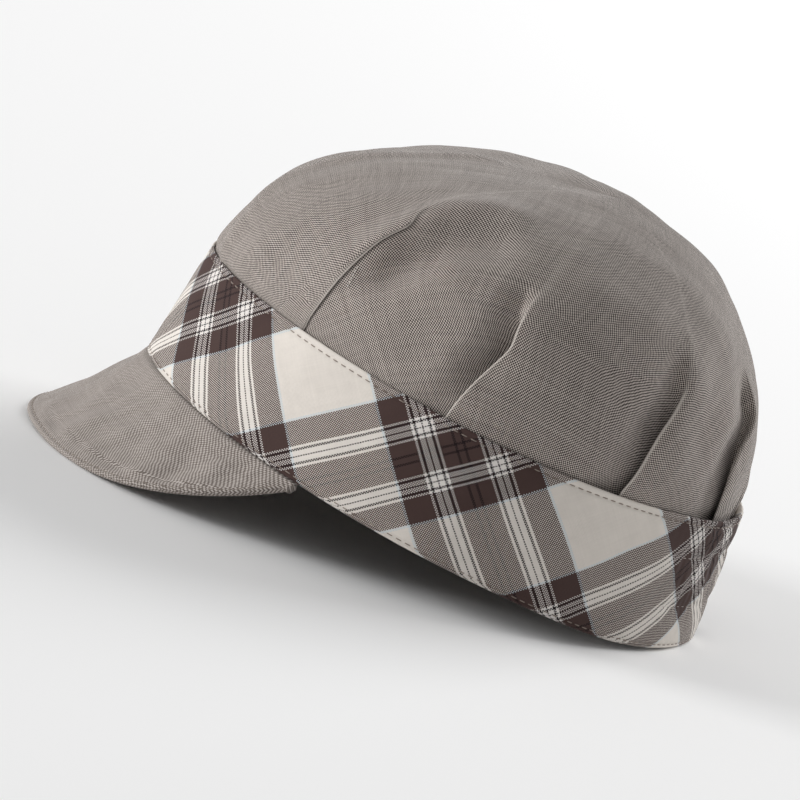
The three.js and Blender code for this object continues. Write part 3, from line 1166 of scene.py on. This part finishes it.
@dataclass(frozen=True)
class Pleat:
    """One pleat of the left half; the right half mirrors it. Angles in degrees, sizes in mm."""

    # The top fold's edge: angle up the crown and angle round it
    path: Table
    on_top: PanelOnTop
    overlap: float
    reach: float
    fade: float
    step: float
    # Dip of the lower panel: depth, start up the pleat, place and reach away from the fold
    hollow: float
    hollow_from: float
    hollow_at: float
    hollow_reach: float
    open_end: float
    open_spread: float
    puff: float
    # How pale the fold's edge is, 0 to 1: wear, and a painted highlight where it catches the light
    wear_and_highlight_strength: float
    # Distance between layers where the fold is pressed flat
    layer: float = 0.6
    # Room for the lower panel's stations before the next pleat, 1 for all of it
    room: float = 1.0
    # Width of a hollow that needs all the room
    full_room: float = 12.0
    # Overlap below which the layers begin to open
    opens_below: float = 2.2
    # Growth of the step up the pleat, and where it and the edge's painted highlight and wear die
    # away, as shares of it
    step_power: float = 1.3
    end_ease: Pair = (0.55, 0.45)
    wear_and_highlight_ease: Pair = (0.85, 0.2)
    # Share of the pleat over which the hollow deepens, and degrees over which the puff grows
    sink_over: float = 0.4
    loft_over: float = 9.0
    # Spread of the stations along the pleat and past its end
    least_spread: float = 0.5
    end_spread: float = 7.5

    def edge(self, climb: Array) -> Array:
        """Angle round the crown of the top fold's edge at each row."""
        climbs, angles = np.array(self.path).T
        return np.interp(climb, climbs, angles)

    def station(self, row: PleatStation, climb: Array) -> tuple[Array, Array, Array]:
        """Place of one station of the pleat's section over the crown's rows.

        Args:
            row: the station.
            climb: the rows, as angles up the crown.

        Returns:
            Distance along the surface from the fold's edge, depth below it, and how strongly
            wear and a painted highlight pale the fold's edge there, for each row.
        """
        rise = np.clip(climb / self.reach, 0.0, 1.0)
        fade = 1.0 - ramp(climb, self.reach, self.fade)
        overlap = self.overlap * (1.0 - rise)
        opened = smooth(1.0 - overlap / self.opens_below)
        ending = fade * (1.0 - (1.0 - self.open_end) * ramp(rise, *self.end_ease))
        drop = (self.step - 2.0 * self.layer) * rise**self.step_power * ending
        # A narrow hollow has its stations closer together
        narrow = min(self.room, (self.hollow_at + self.hollow_reach) / self.full_room)
        narrow = narrow if row.side >= 0.0 else 1.0
        past_end = self.end_spread * (1.0 - fade) * narrow
        spread = self.least_spread + self.open_spread * opened + past_end
        away = row.side * narrow
        along = away + row.fold * overlap + row.turn * self.layer * fade + row.spread * spread
        depth = row.tight * self.layer * fade + row.depth * drop
        dip = self.hollow * float(hump(away - self.hollow_at, self.hollow_reach))
        sunk = ramp(rise, self.hollow_from, self.sink_over) * ending
        loft = smooth(climb / self.loft_over) * fade
        depth = depth + row.hollow * dip * sunk - row.puff * self.puff * loft
        # The third value is the wear and painted highlight along the fold's edge
        return along, depth, self.wear_and_highlight_strength * row.wear_and_highlight * (1.0 - ramp(rise, *self.wear_and_highlight_ease))


@dataclass(frozen=True)
class Crease:
    """A soft ridge (or valley, where height is below 0) along a line over the crown."""

    # Angle round the crown and angle up it
    path: Table
    reach: float
    height: float


@dataclass
class Crown:
    """One-piece chambray crown: eight pleats, a gathered back, and its edge inside the band."""

    form: CapForm
    cloth: float = 0.5
    # Insets of the hidden edge inside the band, by distance down from the band's top edge
    tuck: Table = ((6.0, 1.85), (2.0, 1.25), (0.0, 1.15))
    tuck_ease: float = 2.6
    panel_spacing: float = 2.4
    gather_spacing: float = 1.3
    gather_reach: float = 24.0
    # Gathers at the back: where they begin, and depth and number round the whole cap of each
    gather_ease: Pair = (152.0, 8.0)
    gathers: Table = ((1.1, 62.0), (0.6, 103.0))
    # Degrees by which the wide gathers sway, and how often round the cap
    gather_sway: Pair = (20.0, 9.0)
    # Degrees of phase by which the narrow ones drift for each degree up the crown
    gather_drift: float = 9.0
    millimetres_per_degree: float = 1.52
    # The cut cloth is a little larger than the smooth form, for what the folds take up
    cut_larger: float = 1.04
    dents: Unevenness = Unevenness(seed=11, shortest=22.0, longest=80.0, height=0.42)
    small_dents: Unevenness = Unevenness(seed=23, shortest=9.0, longest=20.0, height=0.06)
    dents_ease: float = 10.0
    # The form turns sharply at the band's edge, so its direction is measured no lower than this
    lowest_normal: float = 0.4
    # Ends of the row of tacks in the front pleat: angles round the crown and up it
    tacks: tuple[Pair, Pair] = ((47.9, 46.6), (15.6, 22.2))
    pleats: tuple[Pleat, ...] = (
        Pleat(
            (
                (0, 43.9), (8.7, 45.1), (22.6, 46), (29.9, 47.2), (34.3, 48.1), (37, 49.1),
                (40.2, 46.8),
            ),
            PanelOnTop.FRONT, overlap=13.0, reach=41.0, fade=9.0, step=0.4, layer=0.3,
            hollow=0.0, hollow_from=0.35, hollow_at=8.0, hollow_reach=8.0,
            open_end=0.6, open_spread=1.5, puff=0.3, wear_and_highlight_strength=0.8,
        ),
        Pleat(
            (
                (0.6, 79), (4.4, 79.6), (9.6, 80.7), (14, 81.9), (20.5, 83.5), (25.3, 82.7),
                (31.9, 82),
            ),
            PanelOnTop.REAR, overlap=13.0, reach=31.0, fade=9.0, step=4.8,
            hollow=1.6, hollow_from=0.0, hollow_at=0.0, hollow_reach=6.0,
            open_end=0.3, open_spread=1.6, puff=0.5, wear_and_highlight_strength=0.55,
        ),
        Pleat(
            ((0.2, 117.7), (8.9, 118.3), (16.4, 119.3), (23.1, 121.3), (28, 122.4), (34, 123)),
            PanelOnTop.REAR, overlap=15.0, reach=30.0, fade=11.0, step=4.2,
            hollow=2.4, hollow_from=-0.3, hollow_at=0.0, hollow_reach=8.0,
            open_end=0.32, open_spread=1.4, puff=0.5, wear_and_highlight_strength=0.7,
        ),
        Pleat(
            (
                (0, 149.3), (2, 148), (4.5, 145.8), (8, 145.3), (12, 145.6), (18, 148.8),
                (26, 158),
            ),
            PanelOnTop.REAR, overlap=13.0, reach=28.0, fade=12.0, step=3.1, room=0.72,
            hollow=1.3, hollow_from=-0.3, hollow_at=0.0, hollow_reach=12.0,
            open_end=0.7, open_spread=1.6, puff=0.9, wear_and_highlight_strength=0.15,
        ),
    )
    creases: tuple[Crease, ...] = (
        Crease(((9.5, 0), (9, 8), (8.2, 16.2), (0, 27.5), (-3.6, 35.2), (-13.7, 62.4)), 4, 1),
        Crease(((-5, 9), (-7, 15)), 9, -0.6),
        Crease(((-8, 19), (-10, 24)), 9, -2.1),
        Crease(((46.5, 30), (47, 40), (49, 47), (54, 52), (62, 55)), 7, 2.1),
        Crease(((50, 55), (58, 62)), 15, 0.7),
        Crease(((53.5, 25), (55.3, 32), (58.3, 39), (65, 44)), 8.5, -3.5),
        Crease(((178, 29), (184, 35)), 10.5, 1.5),
        Crease(((190, 50), (192, 59)), 13, 1),
        Crease(((197, 67), (212, 77)), 13, 0.45),
        Crease(((255, 82), (290, 78)), 14, 1.1),
        Crease(((318, 52), (312, 60)), 10, 0.9),
        Crease(((126.5, 13), (127, 29)), 11, 1.3),
        Crease(((148.5, 26), (151, 37)), 9.5, -1.1),
        Crease(((165, 8), (195, 8)), 10, -1.7),
        Crease(((165, 19), (195, 19)), 10, -1.3),
        Crease(((122.4, 19), (124.2, 26), (125, 30), (125, 36), (124.6, 43)), 2.2, 0.3),
    )

    def climbs(self) -> Array:
        """Angles up the crown of its rows."""
        low = np.array([0.0, 0.6, 1.3, 2.1, 3.0, 4.0, 5.1])
        return np.concatenate([low, np.linspace(6.3, 88.6, 62)])

    def pleat_columns(self, pleat: Pleat, climb: Array) -> Array:
        """Columns of one pleat.

        Args:
            pleat: the pleat.
            climb: the rows, as angles up the crown.

        Returns:
            Columns by rows by angle, depth and pressing, from front to back.
        """
        root = pleat.path[0][1]
        edges = self.form.band_top(np.array([root - STEP, root + STEP]))
        per_millimetre = 1.0 / float(np.linalg.norm(edges[1] - edges[0]))
        places = [np.stack(pleat.station(row, climb), axis=-1) for row in PLEAT_SECTION]
        lines = [places[0]]
        for row, before, after in zip(PLEAT_SECTION[1:], places[:-1], places[1:]):
            lines += [before + (after - before) * (i + 1) / row.columns for i in range(row.columns)]
        columns = np.array(lines)
        edge = pleat.edge(climb)
        for _ in range(2):
            edge[1:-1] = (edge[:-2] + 2.0 * edge[1:-1] + edge[2:]) / 4.0
        columns[..., 0] = edge + pleat.on_top.value * columns[..., 0] * per_millimetre
        return columns if pleat.on_top is PanelOnTop.FRONT else columns[::-1]

    def between(self, left: Array, right: Array, spacing: float) -> Array:
        """Spreads columns evenly between two others.

        Args:
            left: the column before.
            right: the column after.
            spacing: distance between columns in millimetres.

        Returns:
            The new columns, without those two.
        """
        width = float(right[0, 0] - left[0, 0]) * self.millimetres_per_degree
        count = max(2, int(round(width / spacing)))
        share = (np.arange(1, count) / count)[:, None, None]
        return left + (right - left) * share

    def columns(self, climb: Array) -> Array:
        """All columns of the crown, from the back round the front to the back.

        Args:
            climb: the rows, as angles up the crown.

        Returns:
            Columns by rows by angle, depth and pressing. Angles only grow from column to
            column, except in the folds.
        """
        parts: list[Array] = []
        for pleat in self.pleats:
            columns = self.pleat_columns(pleat, climb)
            if parts:
                parts.append(self.between(parts[-1][-1], columns[0], self.panel_spacing))
            parts.append(columns)
        turn = np.array([FULL_TURN, 0.0, 0.0])
        left = np.concatenate(parts)
        right = left[::-1] * np.array([-1.0, 1.0, 1.0])
        front = self.between(right[-1], left[0], self.panel_spacing)
        back = self.between(left[-1], right[0] + turn, self.gather_spacing)
        ring = np.concatenate([right, front, left, back])
        before = np.concatenate([ring[-1:] - turn, ring[:-1]])
        after = np.concatenate([ring[1:], ring[:1] + turn])
        return (before + 2.0 * ring + after) / 4.0

    def gather(self, angle: Array, climb: Array) -> Array:
        """Depth of the gathers that the elastic draws in the crown's back.

        Args:
            angle: degrees from the front.
            climb: the rows, as angles up the crown.

        Returns:
            The depth in millimetres.
        """
        turn = np.abs(wrap(angle))
        pull = ramp(turn, *self.gather_ease) * (1.0 - smooth(climb / self.gather_reach))
        (deep, few), (shallow, many) = self.gathers
        sway, sways = self.gather_sway
        wide = deep * (1.0 - cosine(turn * few + sway * sine(turn * sways)))
        fine = shallow * (1.0 - cosine(turn * many + climb * self.gather_drift))
        return pull * (wide + fine) / 2.0

    def crease_height(self, x: Array, y: Array, climb: Array, reach: Array) -> Array:
        """Height that the named creases add.

        Args:
            x: flat places across, in millimetres from the summit.
            y: flat places towards the back, in millimetres from the summit.
            climb: the rows, as angles up the crown.
            reach: the rows' distances from the summit along the cloth.

        Returns:
            The added height in millimetres.
        """
        total = np.zeros(x.shape)
        for crease in self.creases:
            nearest = np.full(x.shape, 1e9)
            angles, climbs = np.array(crease.path).T
            far = np.interp(climbs, climb, reach)
            ends = np.stack([far * sine(angles), -far * cosine(angles)], axis=-1)
            for start, end in zip(ends[:-1], ends[1:]):
                way = end - start
                share = ((x - start[0]) * way[0] + (y - start[1]) * way[1]) / float(way @ way)
                share = np.clip(share, 0.0, 1.0)
                gap = np.hypot(x - start[0] - way[0] * share, y - start[1] - way[1] * share)
                nearest = np.minimum(nearest, gap)
            total = total + crease.height * hump(nearest, crease.reach)
        return total

    def surface(self) -> tuple[Array, Array, Array, Array]:
        """Outer surface of the crown.

        Returns:
            Points of columns by rows in the cap's frame, their flat cloth places with one
            column more, which closes the ring, how strongly wear and a painted highlight pale each
            at the fold edges, and the summit.
        """
        climb = self.climbs()
        angle, depth, wear_and_highlight = np.moveaxis(self.columns(climb), -1, 0)
        rows = per_column(angle, climb)
        line = self.form.crown(np.full(climb.shape, 90.0), climb)
        summit = np.array([0.0, self.form.summit_y, self.form.crown_height])
        run = lengths_along(np.concatenate([line, summit[None]]))
        reach = (run[-1] - run[:-1]) * self.cut_larger
        x = reach * sine(angle)
        y = -reach * cosine(angle)
        bumps = self.dents.at(x, y) + self.small_dents.at(x, y)
        height = bumps * smooth(rows / self.dents_ease) + self.crease_height(x, y, climb, reach)
        tuck = self.tuck[-1][1] * hump(rows, self.tuck_ease)
        inset = depth + tuck + self.gather(angle, rows) - height
        normal = self.form.crown_normal(angle, np.maximum(rows, self.lowest_normal))
        points = self.form.crown(angle, rows) - normal * inset[..., None]
        edge = angle[:, 0]
        full = self.form.band_height(edge)
        layers = depth[:, 0] + self.gather(edge, rows[:, 0])
        hidden = self.tuck[:-1]
        feet = [self.form.band(edge, full - drop, inset + layers) for drop, inset in hidden]
        points = np.concatenate([np.stack(feet, axis=1), points], axis=1)
        reach = np.concatenate([reach[0] + np.array([drop for drop, _ in hidden]), reach])
        # The rows hidden inside the band take the edge rows' wear and painted highlight
        wear_and_highlight = np.concatenate([wear_and_highlight[:, :1], wear_and_highlight[:, :1], wear_and_highlight], axis=1)
        summit = summit + upright(float(height[:, -1].mean()))
        around = lengths_along(np.concatenate([points, points[:1]]))
        front = np.array([np.interp(0.0, edge, row[:-1]) for row in around.T])
        turn = 2.0 * math.pi * (around - front) / around[-1]
        cloth = np.stack([reach * np.sin(turn), -reach * np.cos(turn)], axis=-1)
        return points, cloth, wear_and_highlight, summit

    def build(self) -> None:
        points, cloth, wear_and_highlight, summit = self.surface()
        rested, pole = self.form.rest(points), self.form.rest(summit)
        grid = ClothGrid(rested, cloth, closed_rows=False, pole=pole, wear_and_highlight=wear_and_highlight)
        piece = grid.build("pleated_crown", ChambrayFinish("crown chambray").material())
        thickness = piece.modifiers.new("cloth", "SOLIDIFY")
        thickness.thickness = self.cloth * MM
        thickness.offset = -1.0
        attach(piece, BODY)
        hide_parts("crown")

    def sew(self) -> None:
        """Makes the few loose tacking stitches that show in the hollow of the front pleats."""
        thread = ThreadFinish("white tacking thread", "#e6e1dc")
        sizes = {"period": 1.25, "stitch": 0.7, "radius": 0.13, "lift": 0.12}
        tacks = Stitching("pleat_tacks", thread, "chambray", **sizes)
        for side in (1.0, -1.0):
            angle, climb = (np.linspace(*ends, 40) for ends in self.tacks)
            angle = side * angle
            normal = self.form.crown_normal(angle, climb)
            tacks.sew(self.form.crown(angle, climb) + 0.1 * normal, normal)
        tacks.build(self.form)


@dataclass
class Peak:
    """Short chambray peak over a flexible stiffener, its root turned up inside the band."""

    form: CapForm
    half_angle: float = 59.5
    width: float = 41.2
    # Exponents of the outline
    outline: Pair = (3.89, 1.2)
    # Slope down from level at the middle and at the ends, and how far the ends fan out
    slope_middle: float = 52.4
    slope_end: float = 48.2
    fan: float = 0.27
    bow: float = 1.8
    end_width: float = 3.0
    wall: float = 2.2
    flange_wall: float = 1.0
    flange_height: float = 5.0
    band_wall: float = 1.8
    gap: float = 0.45
    edge_stitch: float = 1.9
    groove: float = 0.32
    groove_reach: float = 0.55
    # Share of a groove's depth that always stays, and that comes and goes with the stitches
    pucker: Pair = (0.65, 0.55)
    # The rolled edge: its height, distance from the edge and reach
    roll: Triple = (0.12, 0.9, 0.6)
    # The dents begin this far from the root and the edge, and grow over this much
    root_ease: Pair = (0.0, 5.0)
    edge_ease: Pair = (2.5, 4.0)
    # Seeds of the upper and the lower face's dents
    seeds: tuple[int, int] = (5, 8)
    columns: int = 420

    def width_at(self, angle: Array) -> Array:
        """Width of the peak.

        Args:
            angle: degrees from the front.

        Returns:
            The width in millimetres, from the root out.
        """
        share = np.abs(angle) / self.half_angle
        shape, power = self.outline
        width = self.width * np.maximum(1.0 - share**shape, 0.0) ** (1.0 / power)
        return np.maximum(width, self.end_width)

    def frame_at(self, angle: Array) -> tuple[Array, Array]:
        """The peak's own directions.

        Args:
            angle: degrees from the front.

        Returns:
            Directions out along the peak and up off its face.
        """
        share = (angle / self.half_angle) ** 2
        slope = (self.slope_middle + (self.slope_end - self.slope_middle) * share)[:, None]
        turn = self.fan * angle
        ahead = np.stack([sine(turn), -cosine(turn), np.zeros_like(turn)], axis=-1)
        rise = upright(1.0)
        out = ahead * cosine(slope) - rise * sine(slope)
        return out, ahead * sine(slope) + rise * cosine(slope)

    def face(self, angle: Array, out_by: Array, drop: Array) -> Array:
        """Points of the peak.

        Args:
            angle: the columns' angles.
            out_by: distance out from the root, columns by rows.
            drop: distance below the upper face, columns by rows.

        Returns:
            The points, columns by rows.
        """
        out, up = self.frame_at(angle)
        width = self.width_at(angle)[:, None]
        share = out_by / width
        bow = 4.0 * self.bow * share * (1.0 - share) * width / self.width
        root = self.form.rim(angle) - upright(self.gap)
        along = root[:, None] + out[:, None] * out_by[..., None]
        return along - up[:, None] * (bow + drop)[..., None]

    def relief(self, angle: Array, out_by: Array, seed: int) -> Array:
        """Height that the topstitched edge and the uneven cloth add to a face.

        Args:
            angle: the columns' angles.
            out_by: distance out from the root, columns by rows.
            seed: seed of the face's dents.

        Returns:
            The height in millimetres, columns by rows.
        """
        width = self.width_at(angle)[:, None]
        from_edge = width - out_by
        run = lengths_along(self.face(angle, width - self.edge_stitch, np.zeros_like(width))[:, 0])
        run = (run - run[-1] / 2.0)[:, None]
        steady, rippled = self.pucker
        pucker = steady + rippled * np.cos(2.0 * math.pi * run / Stitching.period)
        groove = self.groove * hump(from_edge - self.edge_stitch, self.groove_reach) * pucker
        height, place, reach = self.roll
        dents = Unevenness(seed, shortest=6.0, longest=30.0, height=0.3).at(run, out_by)
        dents = dents * ramp(out_by, *self.root_ease) * ramp(from_edge, *self.edge_ease)
        return height * hump(from_edge - place, reach) - groove + dents

    def flange(self, angle: Array, rises: list[float], deeper: float) -> Array:
        """Points of the part turned up inside the band.

        Args:
            angle: the columns' angles.
            rises: the rows' heights above the band's bottom edge.
            deeper: distance in from the part's outer face.

        Returns:
            The points, columns by rows.
        """
        columns = per_row(angle, len(rises))
        inset = self.band_wall + self.gap + deeper
        return self.form.band(columns, per_column(angle, np.array(rises)), inset)

    def section(self, angle: Array) -> tuple[Array, Array]:
        """Closed sections of the peak.

        Args:
            angle: the columns' angles.

        Returns:
            Points of columns by rows, and their flat cloth places with one row more.
        """
        radius = self.wall / 2.0
        upper_seed, lower_seed = self.seeds
        reach = self.width_at(angle)[:, None] - radius
        # Rows lie closest at the edge, where the topstitching is
        near_edge = reach - 0.14 * reach * np.linspace(1.0, 0.0, 17)[None, 1:]
        upper = np.concatenate([np.linspace(0.0, 0.86, 24)[None] * reach, near_edge], axis=1)
        lower = upper[:, ::-1]
        turn = np.linspace(0.0, 180.0, 9)[1:-1]
        out_by = np.concatenate([upper, reach + radius * sine(turn), lower], axis=1)
        edge_drop = per_column(angle, radius - radius * cosine(turn))
        lower_drop = self.wall + self.relief(angle, lower, lower_seed)
        upper_drop = -self.relief(angle, upper, upper_seed)
        drop = np.concatenate([upper_drop, edge_drop, lower_drop], axis=1)
        outer = self.flange(angle, [self.flange_height, 3.0, 1.0, -self.gap], 0.0)
        back = self.flange(angle, [-self.wall, 0.0, 2.0, self.flange_height], self.flange_wall)
        points = np.concatenate([outer, self.face(angle, out_by, drop), back], axis=1)
        run = lengths_round(np.concatenate([points, points[:, :1]], axis=1))
        # The cloth's places start at the root and turn back at the middle of the rounded edge
        root = outer.shape[1]
        middle = root + upper.shape[1] + len(turn) // 2
        along = turned_back(run, middle) - run[:, root : root + 1]
        across = per_row(self.form.rim(angle)[:, 0], run.shape[1])
        return points, np.stack([across * (1.0 + 0.004 * along), along], axis=-1)

    def build(self) -> None:
        """Makes the peak, its two ends closed."""
        angle = np.linspace(-self.half_angle, self.half_angle, self.columns)
        points, cloth = self.section(angle)
        grid = ClothGrid(self.form.rest(points[:, ::-1]), cloth[:, ::-1], closed_columns=False)
        finish = ChambrayFinish(
            "peak chambray",
            warp_colour="#6b625c",
            weft_colour="#b9b1ab",
            wander=0.5,
            wander_run=3.0,
            slubs=0.9,
        )
        piece = grid.build("stiffened_peak", finish.material())
        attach(piece, BODY)
        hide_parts("peak")
        LOG.info("peak: %d columns of %d points", *points.shape[:2])

    def sew(self) -> None:
        """Makes the row of topstitching along the peak's edge, above and below."""
        thread = ThreadFinish("grey-brown thread", "#84796f")
        row = Stitching("peak_topstitching", thread, "peak_chambray")
        end = self.half_angle - 1.2
        angle = np.linspace(-end, end, 1400)
        out_by = self.width_at(angle)[:, None] - self.edge_stitch
        _, up = self.frame_at(angle)
        # The cloth is pulled in deepest where the thread goes through, midway between stitches
        hole = (Stitching.period + Stitching.stitch) / 2.0
        for seed, side in zip(self.seeds, (1.0, -1.0)):
            relief = self.relief(angle, out_by, seed)
            drop = -relief if side > 0.0 else self.wall + relief
            line = self.face(angle, out_by, drop)[:, 0]
            row.sew(line, side * up, (lengths_along(line)[-1] / 2.0 - hole) % Stitching.period)
        row.build(self.form)


@dataclass(frozen=True)
class Studio:
    """Pale floor, soft lights, and the camera where the picture was taken from."""

    form: CapForm
    # The camera's direction from the rim's centre, and its roll, in the cap's own frame
    azimuth: float = 80.0
    elevation: float = 11.7
    roll: float = 28.52
    distance: float = 2000.0
    # Focal length, picture side and the rim centre's place in the picture, in pixels
    focal_pixels: float = 6380.0
    picture: float = 800.0
    rim_centre: Pair = (422.69, 491.6)
    sensor: float = 36.0
    floor_half: float = 9.0
    floor_drop: float = 0.0001
    # Middle of the cap, in metres, at which the lights aim
    aim: Triple = (0.0, 0.0, 0.06)

    def add_to_scene(self, name: str, data: Any, place: Array, axes: Array) -> Piece:
        """Adds a camera or light to the scene.

        Args:
            name: its name.
            data: its camera or light data.
            place: its place in metres.
            axes: its own X, Y and Z directions as columns.

        Returns:
            The new object.
        """
        item = bpy.data.objects.new(name, data)
        item.matrix_world = Matrix.LocRotScale(place.tolist(), Matrix(axes.tolist()), None)
        bpy.context.scene.collection.objects.link(item)
        return item

    def camera(self) -> None:
        """Makes the camera, aimed without any shift."""
        azimuth, roll = math.radians(self.azimuth), math.radians(self.roll)
        towards = np.array([sine(self.azimuth), -cosine(self.azimuth), 0.0])
        towards = towards * cosine(self.elevation) + upright(sine(self.elevation))
        level = np.array([math.cos(azimuth), math.sin(azimuth), 0.0])
        above = np.cross(towards, level)
        right = level * math.cos(roll) + above * math.sin(roll)
        up = -level * math.sin(roll) + above * math.cos(roll)
        half = self.picture / 2.0
        centre = (half - self.rim_centre[0]) * right + (self.rim_centre[1] - half) * up
        aim = unit(self.focal_pixels * towards - centre)
        right = unit(right - aim * float(right @ aim))
        pitch = np.array(Matrix.Rotation(math.radians(-self.form.rest_pitch), 3, "X"))
        axes = pitch @ np.stack([right, np.cross(aim, right), aim], axis=1)
        # A point above the origin, which the floor doesn't press flat, gives the cap's shift
        above_origin = upright(100.0)
        shift = self.form.rest(above_origin) - pitch @ above_origin * MM
        data = bpy.data.cameras.new("camera")
        data.sensor_width = self.sensor
        data.lens = self.focal_pixels * self.sensor / self.picture
        data.clip_end = 50.0
        place = pitch @ (self.distance * towards) * MM + shift
        bpy.context.scene.camera = self.add_to_scene("camera", data, place, axes)

    def floor(self) -> None:
        """Makes the plain pale floor."""
        corners = np.array([(-1.0, -1.0, 0.0), (1.0, -1.0, 0.0), (1.0, 1.0, 0.0), (-1.0, 1.0, 0.0)])
        corners = corners * self.floor_half - upright(self.floor_drop)
        material, tree, shader = new_material("matte white paper")
        surface = {"Base Color": linear("#fafafa"), "Roughness": 0.95, "Specular IOR Level": 0.1}
        fill_inputs(tree, shader, surface)
        floor = add_piece("floor", corners, [(0, 1, 2, 3)], material)

    def light(self, name: str, place: Triple, size: float, power: float) -> None:
        """Makes one square soft light that faces the cap.

        Args:
            name: name of the light.
            place: its place in metres.
            size: its side in metres.
            power: its power in watts.
        """
        data = bpy.data.lights.new(name, "AREA")
        data.shape = "SQUARE"
        data.size = size
        data.energy = power
        away = unit(np.array(place) - np.array(self.aim))
        side = unit(np.cross(upright(1.0), away))
        axes = np.stack([side, np.cross(away, side), away], axis=1)
        self.add_to_scene(name, data, np.array(place), axes)

    def build(self) -> None:
        """Makes the whole studio."""
        self.camera()
        self.floor()
        self.light("front softbox", (0.2, -2.6, 0.62), 1.0, 60.0)
        self.light("back softbox", (-1.65, 2.1, 1.45), 1.9, 70.0)
        world = bpy.data.worlds.new("studio")
        world.use_nodes = True
        background = world.node_tree.nodes["Background"]
        fill_inputs(world.node_tree, background, {"Color": linear("#ffffff"), "Strength": 0.41})
        bpy.context.scene.world = world
        bpy.context.scene.view_settings.view_transform = "Standard"


def main() -> None:
    """Builds the studio, then the cap piece by piece."""
    logging.basicConfig(level=logging.INFO, format="%(name)s: %(message)s")
    form = CapForm()
    Studio(form).build()
    for part in (Band(form), Crown(form), Peak(form)):
        part.build()
        part.sew()


if __name__ == "__main__":
    main()
